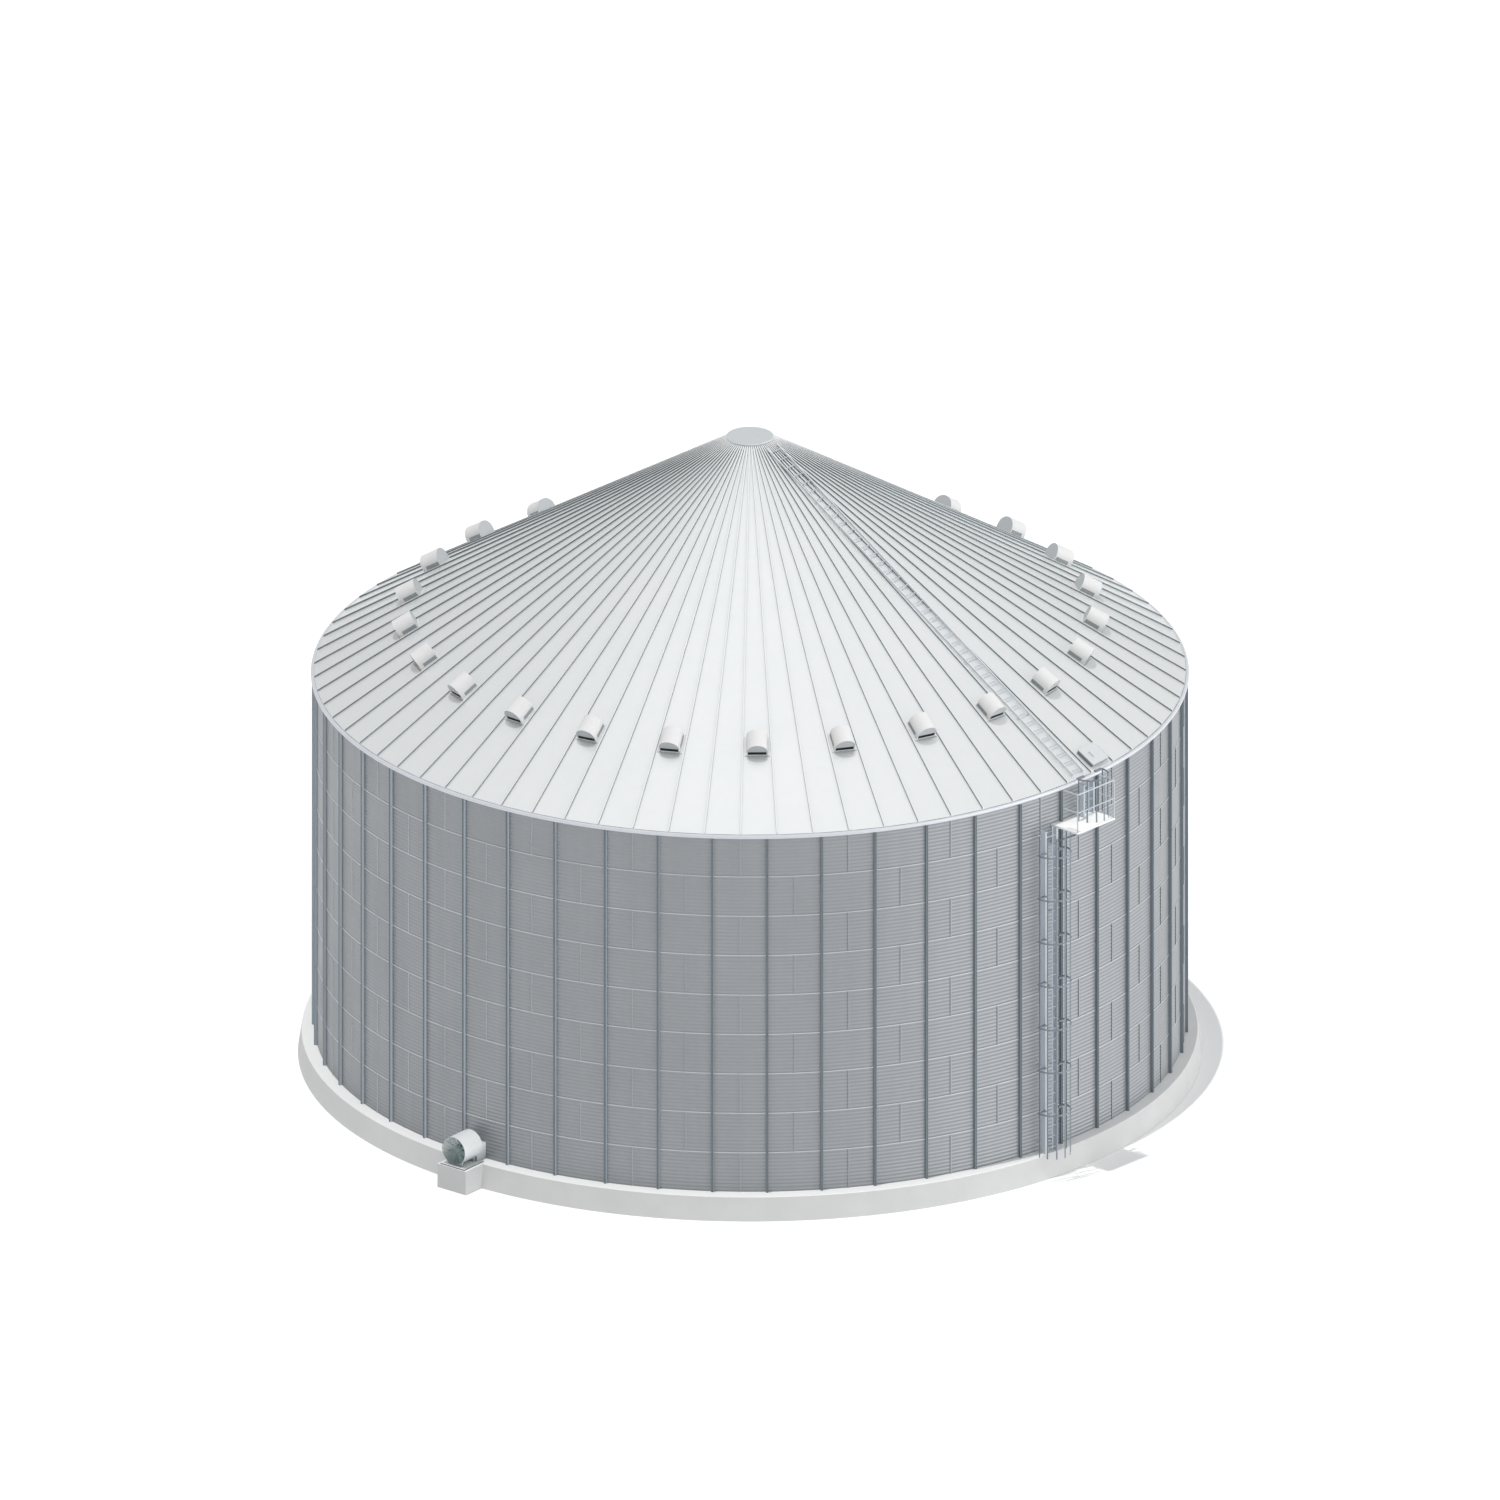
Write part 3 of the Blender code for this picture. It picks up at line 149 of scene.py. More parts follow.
def loft(bm, rings, closed=False, look=0):
    """Skins rings of points, each the same length; open ends are capped, or the last meets the first."""
    rows = [[bm.verts.new(point) for point in ring] for ring in rings]
    faces = []
    for here, there in zip(rows, rows[1:] + (rows[:1] if closed else [])):
        for i in range(len(here)):
            j = (i + 1) % len(here)
            faces.append(bm.faces.new((here[i], here[j], there[j], there[i])))
    if not closed:
        faces.append(bm.faces.new(rows[0][::-1]))
        faces.append(bm.faces.new(rows[-1]))
    for face in faces:
        face.material_index = look
    return faces


def revolve(bm, section, steps, look=0):
    """Turns a closed section of (radius, height) points round the silo's axis."""
    loft(bm, [[point_at(360.0 * i / steps, r, z) for r, z in section] for i in range(steps)], True, look)


def piece(name, bm, looks, stands_for=(), place=None, body="silo", crease=35.0):
    """Makes the object from a bmesh, sets it in its place, and lets it ride on its body."""
    bmesh.ops.recalc_face_normals(bm, faces=bm.faces)
    mesh = bpy.data.meshes.new(name)
    bm.to_mesh(mesh)
    bm.free()
    mesh.shade_smooth()
    mesh.set_sharp_from_angle(angle=math.radians(crease))
    for look in looks:
        mesh.materials.append(look)
    made = bpy.data.objects.new(name, mesh)
    bpy.context.scene.collection.objects.link(made)
    if place is not None:
        made.matrix_world = place
    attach(made, body)
    if stands_for:
        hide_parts(*stands_for)
    return made


def dress(node, look):
    """Gives a carried-over node its finish."""
    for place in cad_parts[node].material_slots:
        place.material = look


concrete = cast_concrete("cast concrete", "#BDBEBE", "#CCCCCB")
pad_concrete = cast_concrete("cast pad concrete", "#B4B5B5", "#C0C1C1")
ring = bmesh.new()
lean = (RING_FOOT_RADIUS - RING_TOP_RADIUS) * RING_CHAMFER / RING_TOP
section = (
    (RING_INSIDE_RADIUS, 0.0),
    (RING_FOOT_RADIUS, 0.0),
    (RING_TOP_RADIUS + lean, RING_TOP - RING_CHAMFER),
    (RING_TOP_RADIUS - RING_CHAMFER, RING_TOP),
    (RING_INSIDE_RADIUS, RING_TOP),
)
revolve(ring, section, RING_STEPS)
piece("concrete_ring", ring, [concrete], ["foundation_ring"])
dress("floor_slab", concrete)
dress("fan_pad", pad_concrete)
pad_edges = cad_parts["fan_pad"].modifiers.new("chamfered edges", "BEVEL")
pad_edges.width = PAD_CHAMFER
pad_edges.segments = 1
pad_edges.limit_method = "ANGLE"
pad_edges.angle_limit = math.radians(50)


# Wall sheets
# Hot-dip galvanised steel sheets, corrugated with 11 waves to a sheet, in nine rings. Each ring's
# bolted top lap is a ledge painted lighter as painted light, and the bolted vertical laps stand half a
# sheet apart from one ring to the next, in the middle of every second bay. Each vertical lap's strap
# is painted light along one side and dark along the other, as painted light and shade.

WALL_RADIUS = 11.43
WAVE_DEPTH = 0.009
WAVES = 11
WAVE_SAMPLES = 6
SHEET_GAUGE = 0.003
SHEET_HEIGHT = 1.1176
RINGS = 9
WALL_FOOT = 0.6633
WALL_TOP = 10.688
LAP_HEIGHT = 0.022
LAP_REACH = 0.0105
BAYS = 50
BAY = 360.0 / BAYS
POST_BEARING = 2.25
SEGMENTS = 5
SEGMENT = 360.0 / SEGMENTS
FACETS = 3
SEAM_BEARING = -1.35
SEAM_WIDTH = 0.036
SEAM_REACH = 0.016
SEAM_SEALANT = 1.12
SEAM_INSIDE = WALL_RADIUS - 0.009
BOLT_DROP = 0.03
BOLT_RADIUS = 0.009
BOLT_HEIGHT = 0.007
FAN_BEARING = -38.8
DUCT_HALF = 0.28
DUCT_FOOT = 0.7006
DUCT_HEAD = 1.11
POST_HALF = 0.165
ZINC_DULL = "#95989B"
ZINC_FRESH = "#9DA0A3"
# Darker tone for the downward-facing slope of each wave: painted shade.
ZINC_WAVE_SHADE = "#8B8E91"
ZINC_PAINTED_LIGHT = "#BFC3C6"


def galvanised_sheet(name, dull, fresh, roughness, metallic, patchy=1.0):
    """Zinc weathered to a soft sheen: spangle of about 15 mm, faint rain streaks, matt patches."""
    made, tree, shader, place = blank_material(name, metallic=metallic)
    spangle = add(tree, "ShaderNodeTexVoronoi", {"Scale": 60.0}, {"Vector": place})
    stretch = add(tree, "ShaderNodeMapping", {"Scale": (2.2, 2.2, 0.12)}, {"Vector": place})
    along = {"Vector": stretch.outputs["Vector"]}
    streaks = add(tree, "ShaderNodeTexNoise", {"Scale": 1.6, "Detail": 5.0}, along)
    clouds = add(tree, "ShaderNodeTexNoise", {"Scale": 0.5, "Detail": 3.0}, {"Vector": place})
    grey = add(tree, "ShaderNodeRGBToBW", None, {"Color": spangle.outputs["Color"]})
    both = {0: streaks.outputs["Fac"], 1: clouds.outputs["Fac"]}
    rained = add(tree, "ShaderNodeMath", {"operation": "ADD"}, both)
    both = {0: grey.outputs["Val"], 2: rained.outputs[0]}
    marked = add(tree, "ShaderNodeMath", {"operation": "MULTIPLY_ADD", 1: 0.24}, both)
    spread = {"From Min": 0.65, "From Max": 1.6}
    worn = add(tree, "ShaderNodeMapRange", spread, {"Value": marked.outputs[0]}).outputs[0]
    tree.links.new(blend_colours(tree, worn, dull, fresh), shader.inputs["Base Color"])
    matt = 0.07 * patchy
    spread = {"To Min": roughness + matt, "To Max": roughness - matt}
    sheen = add(tree, "ShaderNodeMapRange", spread, {"Value": worn})
    tree.links.new(sheen.outputs[0], shader.inputs["Roughness"])
    ripple = add(tree, "ShaderNodeTexNoise", {"Scale": 9.0, "Detail": 2.0}, {"Vector": place})
    skin = {"Strength": 0.12 * patchy, "Distance": 0.004}
    bump = add(tree, "ShaderNodeBump", skin, {"Height": ripple.outputs["Fac"]})
    tree.links.new(bump.outputs["Normal"], shader.inputs["Normal"])
    return made


def wave(height):
    """Radius of the sheet's outer face at a height."""
    turn = 2 * math.pi * WAVES * (height - RING_TOP) / SHEET_HEIGHT
    return WALL_RADIUS - WAVE_DEPTH / 2 * math.cos(turn)


def sheet_section(low, high):
    """Closed section of a corrugated sheet between two heights."""
    step = SHEET_HEIGHT / WAVES / WAVE_SAMPLES
    heights = [low]
    number = math.ceil((low - RING_TOP) / step + 0.2)
    while RING_TOP + number * step < high - step * 0.2:
        heights.append(RING_TOP + number * step)
        number += 1
    heights.append(high)
    outer = [(wave(z), z) for z in heights]
    return outer + [(r - SHEET_GAUGE, z) for r, z in reversed(outer)]


def sheet_band(bm, first, last, steps, section, look=0):
    """Carries a section round the wall from one bearing to another."""
    bearings = [first + (last - first) * i / steps for i in range(steps + 1)]
    loft(bm, [[point_at(b, r, z) for r, z in section] for b in bearings], look=look)


def hex_head(bm, centre, outwards, radius=BOLT_RADIUS, height=BOLT_HEIGHT, look=0):
    """Bolt head standing on a face."""
    outwards = outwards.normalized()
    side = outwards.orthogonal().normalized()
    other = outwards.cross(side)
    rings = []
    for lift, share in ((-0.3, 1.0), (0.75, 1.0), (1.0, 0.8)):
        middle = centre + outwards * height * lift
        turns = [2 * math.pi * i / 6 for i in range(6)]
        rings.append([middle + (side * math.cos(t) + other * math.sin(t)) * radius * share for t in turns])
    loft(bm, rings, look=look)


def ring_heights(number):
    """Foot and top of one of the wall's rings, counted from 0 at the bottom."""
    low = max(WALL_FOOT, RING_TOP + SHEET_HEIGHT * number)
    return low, min(WALL_TOP, RING_TOP + SHEET_HEIGHT * (number + 1))


def lap_ledge(low, high):
    """Section of the rolled edge that stands out at the top of a ring."""
    inner = WALL_RADIUS - WAVE_DEPTH / 2 - SHEET_GAUGE
    outer = WALL_RADIUS + LAP_REACH
    return (
        (inner, low),
        (outer - 0.003, low),
        (outer, low + 0.003),
        (outer, high - 0.002),
        (outer - 0.002, high),
        (inner, high),
    )


def corrugated_zinc():
    """Weathered sheet, painted darker on the underside of each wave as painted shade."""
    made = galvanised_sheet("weathered galvanised steel", ZINC_DULL, ZINC_FRESH, 0.46, 0.55)
    tree = made.node_tree
    shader = tree.nodes["Principled BSDF"]
    sheet_tone = shader.inputs["Base Color"].links[0].from_socket
    tint_upwards(tree, shader, "Normal", -0.2, 0.2, ZINC_WAVE_SHADE, sheet_tone)
    return made


zinc = corrugated_zinc()
# Ledges and one side of each seam strap are painted lighter: painted light.
painted_light_edge = galvanised_sheet("zinc edge painted light", ZINC_PAINTED_LIGHT, "#C9CDCF", 0.40, 0.3)
# The other side of each seam strap is painted dark: painted shade.
seam_painted_shade, _, seam_shade_shader, _ = blank_material("seam side painted dark as shade", roughness=0.7)
seam_shade_shader.inputs["Base Color"].default_value = linear("#5F676C")
fan_bay = (POST_BEARING - BAY * 6 + POST_HALF, POST_BEARING - BAY * 5 - POST_HALF)
for segment in range(SEGMENTS):
    start = SEAM_BEARING + SEGMENT * (segment - 1)
    end = start + SEGMENT
    bm = bmesh.new()
    holds_fan = start < FAN_BEARING < end
    for number in range(RINGS):
        low, high = ring_heights(number)
        lap = high - LAP_HEIGHT
        section = sheet_section(low, lap)
        ledge = lap_ledge(lap, high)
        if holds_fan and number == 0:
            spans = [(start, fan_bay[0]), (fan_bay[1], end)]
        else:
            spans = [(start, end)]
        for first, last in spans:
            steps = round((last - first) / BAY * FACETS)
            sheet_band(bm, first, last, steps, section)
            sheet_band(bm, first, last, steps, ledge, 1)
        for joint in range(BAYS // SEGMENTS // 2):
            seam = start + 2 * BAY * joint + (0.0 if number % 2 == 0 else BAY)
            half = math.degrees(SEAM_WIDTH / 2 / WALL_RADIUS)
            wide = half * SEAM_SEALANT
            outer = WALL_RADIUS + SEAM_REACH
            strap = ((SEAM_INSIDE, low), (outer, low), (outer, lap), (SEAM_INSIDE, lap))
            sheet_band(bm, seam - half, seam + half, 1, strap)
            # One side of each seam strap is painted light and the other dark: painted light and shade.
            sheet_band(bm, seam + half, seam + wide, 1, strap, 1)
            sheet_band(bm, seam - wide, seam - half, 1, strap, 2)
            for i in range(WAVES - 1):
                height = low + (i + 1) * SHEET_HEIGHT / WAVES - BOLT_DROP
                hex_head(bm, point_at(seam, outer, height), point_at(seam, 1.0, 0.0))
    name = f"wall_sheets_{segment + 1}"
    looks = [zinc, painted_light_edge, seam_painted_shade]
    piece(name, bm, looks, [f"wall_segment_{segment + 1}"], crease=50.0)

bm = bmesh.new()
half = math.degrees(DUCT_HALF / WALL_RADIUS)
low, high = ring_heights(0)
duct_sides = (FAN_BEARING - half, FAN_BEARING + half)
sheet_band(bm, fan_bay[0], duct_sides[0], 1, sheet_section(low, high - LAP_HEIGHT))
sheet_band(bm, duct_sides[1], fan_bay[1], 2, sheet_section(low, high - LAP_HEIGHT))
sheet_band(bm, *duct_sides, 2, sheet_section(DUCT_HEAD, high - LAP_HEIGHT))
sheet_band(bm, *duct_sides, 2, sheet_section(low, DUCT_FOOT))
sheet_band(bm, *fan_bay, 3, lap_ledge(high - LAP_HEIGHT, high), 1)
piece("fan_bay_sheet", bm, [zinc, painted_light_edge], ["duct_wall_sheet"], crease=50.0)


# Wall posts
# Roll-formed galvanised stiffener posts, two to a sheet, bolted upright to the outside of the wall
# in lengths that meet at every second ring. Their folded front has a shallow groove for the bolts.
# The left side is painted darker as painted shade and the right side lighter as painted light.

POST_WIDTH = 0.065
POST_OUTSIDE = 11.513
POST_INSIDE = 11.434
GROOVE_DEPTH = 0.014
GROOVE_HALF = 0.009
FOLD = 0.006
POST_SPLICE = 0.006
POST_BOLTS = (0.12, 0.37, 0.62, 0.87)
POST_BOLT_RADIUS = 0.0085
POST_SHADE = "#727C84"
POST_FRONT = "#6F7980"
POST_LIT = "#9BA4AC"

# Left sides are painted dark as painted shade and right sides light as painted light.
post_looks = [
    galvanised_sheet(f"galvanised post {side}", colour, colour, 0.48, 0.2, 0.3)
    for side, colour in (("front", POST_FRONT), ("left side", POST_SHADE), ("right side", POST_LIT))
]
half = POST_WIDTH / 2
groove = POST_OUTSIDE - GROOVE_DEPTH
post_shape = (
    (-half, POST_INSIDE),
    (-half, POST_OUTSIDE - FOLD),
    (-half + FOLD, POST_OUTSIDE),
    (-GROOVE_HALF - 0.004, POST_OUTSIDE),
    (-GROOVE_HALF, groove),
    (GROOVE_HALF, groove),
    (GROOVE_HALF + 0.004, POST_OUTSIDE),
    (half - FOLD, POST_OUTSIDE),
    (half, POST_OUTSIDE - FOLD),
    (half, POST_INSIDE),
)
for segment in range(SEGMENTS):
    bm = bmesh.new()
    for bay in range(BAYS // SEGMENTS):
        bearing = SEAM_BEARING + SEGMENT * (segment - 1) + BAY * (bay + 0.5)
        outwards = point_at(bearing, 1.0, 0.0)
        turn = Matrix.Rotation(math.radians(bearing), 3, "Z")
        heights = [WALL_FOOT] + [RING_TOP + SHEET_HEIGHT * i for i in (2, 4, 6, 8)] + [WALL_TOP]
        for low, high in zip(heights, heights[1:]):
            ends = (low, high if high == WALL_TOP else high - POST_SPLICE)
            faces = loft(bm, [[turn @ Vector((x, -r, z)) for x, r in post_shape] for z in ends])
            for side, look in ((0, 1), (8, 2)):
                faces[side].material_index = look
        for ring_number in range(RINGS):
            for share in POST_BOLTS:
                height = RING_TOP + SHEET_HEIGHT * (ring_number + share)
                if height < WALL_TOP - 0.03:
                    hex_head(bm, point_at(bearing, groove, height), outwards, POST_BOLT_RADIUS)
    name = f"wall_posts_{segment + 1}"
    piece(name, bm, post_looks, [f"wall_segment_{segment + 1}"], crease=40.0)


# Eave ring
# Galvanised steel tube rolled to the wall's round and welded on top of it. The roof panels end on
# its shoulder, so that its outer side shows all the way round.

EAVE_RADIUS = 11.485
EAVE_TUBE = 0.055
EAVE_HEIGHT = 10.740
EAVE_STEPS = 300
EAVE_SIDES = 14
TUBE_PALE = "#CFD2D7"

tube_steel = galvanised_sheet("galvanised eave tube", "#C8CBD0", TUBE_PALE, 0.42, 0.3, 0.3)
bm = bmesh.new()
turns = [2 * math.pi * i / EAVE_SIDES for i in range(EAVE_SIDES)]
section = [(EAVE_RADIUS + EAVE_TUBE * math.cos(t), EAVE_HEIGHT + EAVE_TUBE * math.sin(t)) for t in turns]
revolve(bm, section, EAVE_STEPS)
piece("eave_tube", bm, [tube_steel], ["eave_ring"], crease=60.0)


# Roof panels and ribs
# Flat panels of bright galvanised steel from the eave to the cap, 75 of them, joined by upright
# folded ribs along their edges. The ribs' sides are painted dark as painted shade.

ROOF_SLOPE = 0.605
ROOF_APEX = 17.725
ROOF_TOP_RADIUS = 0.58
ROOF_EDGE_RADIUS = 11.4546
PANELS = 75
PANEL = 360.0 / PANELS
RIB_BEARING = -1.23
RIB_HALF = 0.021
RIB_HEIGHT = 0.045 / math.cos(math.atan(ROOF_SLOPE))
RIB_FOLD = 0.006
PANEL_GAUGE = 0.0035
HATCH_PANEL = 11
SECTOR_RIBS = (2, 12, 17, 32, 47, 62, 77)
ROOF_BRIGHT = "#E4E5E5"
ROOF_DULL = "#E0E2E2"
RIB_PAINTED_SHADE = "#6F777B"

PANEL_SLOPE = ROOF_SLOPE / math.cos(math.radians(PANEL / 2))
PANEL_PITCH = math.atan(PANEL_SLOPE)


def roof_point(bearing, radius, across, lift):
    """Point beside a rib line, on the flat panel to the line's right or left."""
    start = point_at(bearing, radius, 0.0)
    side = math.copysign(1.0, across)
    chord = (point_at(bearing + side * PANEL, radius, 0.0) - start).normalized()
    spot = start + chord * abs(across)
    return Vector((spot.x, spot.y, ROOF_APEX - ROOF_SLOPE * radius + lift))


roof_steel = galvanised_sheet("bright galvanised roof sheet", ROOF_DULL, ROOF_BRIGHT, 0.34, 0.5, 0.15)
# Rib sides painted dark: painted shade.
rib_side_shade_look = galvanised_sheet("folded rib side painted as shade", RIB_PAINTED_SHADE, "#7A8286", 0.5, 0.4)
panel_ends = (ROOF_TOP_RADIUS, ROOF_EDGE_RADIUS)
for sector, (low, high) in enumerate(zip(SECTOR_RIBS, SECTOR_RIBS[1:])):
    bm = bmesh.new()
    for rib in range(low, high):
        bearing = RIB_BEARING + PANEL * rib
        shape = (
            (-RIB_HALF, -PANEL_GAUGE),
            (-RIB_HALF, RIB_HEIGHT - RIB_FOLD),
            (-RIB_HALF + RIB_FOLD, RIB_HEIGHT),
            (RIB_HALF - RIB_FOLD, RIB_HEIGHT),
            (RIB_HALF, RIB_HEIGHT - RIB_FOLD),
            (RIB_HALF, -PANEL_GAUGE),
        )
        faces = loft(bm, [[roof_point(bearing, radius, x, z) for x, z in shape] for radius in panel_ends])
        for face in (faces[0], faces[4]):
            face.material_index = 1
        if rib == HATCH_PANEL:
            continue
        rings = []
        for radius in panel_ends:
            near = [roof_point(bearing, radius, RIB_HALF, z) for z in (-PANEL_GAUGE, 0.0)]
            far = [roof_point(bearing + PANEL, radius, -RIB_HALF, z) for z in (0.0, -PANEL_GAUGE)]
            rings.append(near + far)
        loft(bm, rings)
    name = f"roof_panels_{sector + 1}"
    looks = [roof_steel, rib_side_shade_look]
    piece(name, bm, looks, [f"roof_sector_{sector + 1}"], crease=25.0)
dress("hatch_panel", roof_steel)


# Peak cap
# Flat round cover of galvanised sheet with a turned-down rim, bolted on over the panels' top ends. The
# bolt heads are the silo's highest points, 45 mm above the cover's foot.

CAP_RADIUS = 0.62
CAP_FOOT = ROOF_APEX - ROOF_SLOPE * ROOF_TOP_RADIUS + RIB_HEIGHT + 0.0003
CAP_HEIGHT = 0.045 - BOLT_HEIGHT
CAP_INSIDE = 0.02
CAP_DEPTH = 0.10
CAP_STEPS = 72
CAP_BOLTS = 12
CAP_GREY = "#D3D7D9"

cap_steel = galvanised_sheet("galvanised cap sheet", "#CCD1D4", CAP_GREY, 0.40, 0.5)
bm = bmesh.new()
cap_top = CAP_FOOT + CAP_HEIGHT
profile = (
    (CAP_INSIDE, CAP_FOOT - CAP_DEPTH),
    (ROOF_TOP_RADIUS - 0.01, CAP_FOOT - CAP_DEPTH),
    (ROOF_TOP_RADIUS - 0.01, CAP_FOOT),
    (CAP_RADIUS, CAP_FOOT),
    (CAP_RADIUS, cap_top - 0.006),
    (CAP_RADIUS - 0.006, cap_top - 0.001),
    (CAP_RADIUS - 0.03, cap_top),
    (CAP_INSIDE, cap_top),
)
loft(bm, [[point_at(360.0 * i / CAP_STEPS, r, z) for i in range(CAP_STEPS)] for r, z in profile])
for i in range(CAP_BOLTS):
    hex_head(bm, point_at(360.0 / CAP_BOLTS * i, CAP_RADIUS - 0.05, cap_top), Vector((0, 0, 1)))
piece("cap_cover", bm, [cap_steel], ["peak_cap"])


# Roof vents
# Half-round hoods pressed from galvanised sheet, one on every third panel, standing on four corner
# posts. Low slots between the posts, at the front and both sides, are backed by woven screens with
# upright bars, painted dark as painted shade, darker at the front. The end plates, side bars and
# front flange strip are painted darker than the hood, as painted shade.

VENTS = 25
VENT_BEARING = 1.17
VENT_RADIUS = 8.995
VENT_WIDTH = 0.56
VENT_LENGTH = 0.55
VENT_HEIGHT = 0.42
VENT_SHEET = 0.004
VENT_FLANGE = 0.05
SLOT_LOW = 0.035
SLOT_HIGH = 0.14
FRONT_POST = 0.032
SIDE_POST = 0.12
BACK_POST = 0.025
SCREEN_SETBACK = 0.03
BAR_HALF = 0.003
VENT_PALE = "#D2D2D1"


def on_panel(radius, bearing, lift=0.0):
    """Place on the middle of a roof panel for a piece modelled flat with its down-slope side at -Y."""
    spot = point_at(bearing, radius, ROOF_APEX - PANEL_SLOPE * radius + lift)
    turn = Matrix.Rotation(math.radians(bearing), 4, "Z") @ Matrix.Rotation(PANEL_PITCH, 4, "X")
    return Matrix.Translation(spot) @ turn


def block(bm, x, y, z, look=0):
    """Plain rectangular solid between two values on each axis."""
    sides = ((x[0], y[0]), (x[1], y[0]), (x[1], y[1]), (x[0], y[1]))
    return loft(bm, [[Vector((a, b, c)) for a, b in sides] for c in z], look=look)


def hood_outline(radius, foot, steps=24):
    """Upright-sided outline with a half-round top, from foot to foot."""
    shoulder = VENT_HEIGHT - VENT_WIDTH / 2
    turns = [math.pi * i / steps for i in range(steps + 1)]
    arc = [(-radius * math.cos(t), shoulder + radius * math.sin(t)) for t in turns]
    return [(-radius, foot), *arc, (radius, foot)]


def vent_mesh():
    """One hood, flat on the ground with its open front at -Y."""
    bm = bmesh.new()
    half, sheet = VENT_WIDTH / 2, VENT_SHEET
    front, back = -VENT_LENGTH / 2, VENT_LENGTH / 2
    inner = hood_outline(half - sheet, SLOT_HIGH)[::-1]
    shells = []
    for y, grow in ((front, 0.0), (front + 0.014, 0.0), (front + 0.018, -0.003), (back, -0.003)):
        shells.append([Vector((x, y, z)) for x, z in hood_outline(half + grow, SLOT_HIGH) + inner])
    loft(bm, shells)
    face = hood_outline(half - sheet, SLOT_HIGH)
    loft(bm, [[Vector((x, y, z)) for x, z in face] for y in (front + 0.004, front + 0.010)], look=1)
    rear = hood_outline(half - sheet, 0.0)
    loft(bm, [[Vector((x, y, z)) for x, z in rear] for y in (back - 0.010, back - 0.004)], look=1)
    for side in (-1, 1):
        skin = sorted((side * half, side * (half - sheet)))
        block(bm, skin, (front, back), (0.0, SLOT_LOW))
        block(bm, skin, (front, front + SIDE_POST), (SLOT_LOW, SLOT_HIGH))
        block(bm, skin, (back - BACK_POST, back), (SLOT_LOW, SLOT_HIGH))
        post = sorted((side * (half - sheet), side * (half - FRONT_POST)))
        block(bm, post, (front, front + sheet), (SLOT_LOW, SLOT_HIGH))
        screen = sorted((side * (half - 0.008), side * (half - 0.012)))
        block(bm, screen, (front + SCREEN_SETBACK, back - 0.010), (0.0, SLOT_HIGH + 0.02), 3)
        rib = sorted((side * (half - 0.008), side * (half - 0.004)))
        for i in range(1, 12):
            y = front + SIDE_POST + (VENT_LENGTH - SIDE_POST - BACK_POST) * i / 12
            block(bm, rib, (y - BAR_HALF, y + BAR_HALF), (0.0, SLOT_HIGH), 1)
    block(bm, (sheet - half, half - sheet), (front, front + sheet), (0.0, SLOT_LOW))
    y = front + SCREEN_SETBACK
    reach = half - SCREEN_SETBACK
    block(bm, (-reach, reach), (y, y + sheet), (0.0, SLOT_HIGH + 0.02), 2)
    for i in range(1, 16):
        x = -reach + 2 * reach * i / 16
        block(bm, (x - BAR_HALF, x + BAR_HALF), (y - sheet, y), (0.0, SLOT_HIGH), 2)
    wide = half + VENT_FLANGE
    for side in (-1, 1):
        across = sorted((side * half, side * wide))
        block(bm, across, (front, back), (0.0, sheet))
        for i in range(4):
            spot = Vector((side * (half + VENT_FLANGE / 2), front + 0.06 + i * 0.14, sheet))
            hex_head(bm, spot, Vector((0, 0, 1)), 0.008, 0.006)
    block(bm, (-wide, wide), (back, back + VENT_FLANGE), (0.0, sheet))
    block(bm, (-wide, wide), (front - VENT_FLANGE, front), (0.0, sheet), 1)
    return bm


vent_steel = galvanised_sheet("pressed galvanised hood", "#CDCDCC", VENT_PALE, 0.5, 0.0, 0.3)
# End plates, side bars and the front flange strip are painted darker than the hood: painted shade.
vent_painted_shade = galvanised_sheet("hood end plate painted as shade", "#A9ADB0", "#B0B4B7", 0.45, 0.1, 0.3)
# Screens painted black at the front and grey at the sides: painted shade.
front_screen_painted_shade, _, screen_shader, _ = blank_material("woven screen painted black as shade", roughness=0.7, metallic=0.2)
screen_shader.inputs["Base Color"].default_value = linear("#20272C")
side_screen_painted_shade, _, side_shader, _ = blank_material("woven side screen painted grey as shade", roughness=0.6, metallic=0.2)
side_shader.inputs["Base Color"].default_value = linear("#8A9296")
for number in range(VENTS):
    name = f"vent_hood_{number + 1:02d}"
    place = on_panel(VENT_RADIUS, VENT_BEARING + 360.0 / VENTS * number, 0.0005)
    looks = [vent_steel, vent_painted_shade, front_screen_painted_shade, side_screen_painted_shade]
    piece(name, vent_mesh(), looks, [f"roof_vent_{number + 1:02d}"], place)


# Roof hatch
# A welded curb of galvanised plate round the opening in the panel, painted dark as painted shade, and a
# folded lid on two hinges at its right-hand side. The lid swings on the hinge and carries a bar handle.

hatch_steel = galvanised_sheet("galvanised hatch plate", "#C3C6C8", "#CACDCF", 0.40, 0.15, 0.3)
# The curb is painted dark: painted shade.
curb_painted_shade = galvanised_sheet("welded curb painted dark as shade", "#7A8286", "#868E92", 0.50, 0.2, 0.3)
dress("hatch_curb", curb_painted_shade)
dress("hatch_lid", hatch_steel)


# Roof ladder
# Galvanised ladder of two flat stiles with round rungs, laid up the slope from the eave to the cap
# on pairs of short feet that clear the ribs.

LADDER_WIDTH = 0.44
RUNG_RADIUS = 0.015
RUNG_PITCH = 0.304
ROOF_LADDER_BEARING = RIB_BEARING + PANEL * 10.5
ROOF_LADDER_FOOT = 11.36
ROOF_LADDER_HEAD = 0.72
ROOF_LADDER_LIFT = 0.0493
ROOF_STILE_WIDTH = 0.03
ROOF_STILE_DEPTH = 0.05
ROOF_LADDER_FEET = (0.04, 2.2, 4.3)


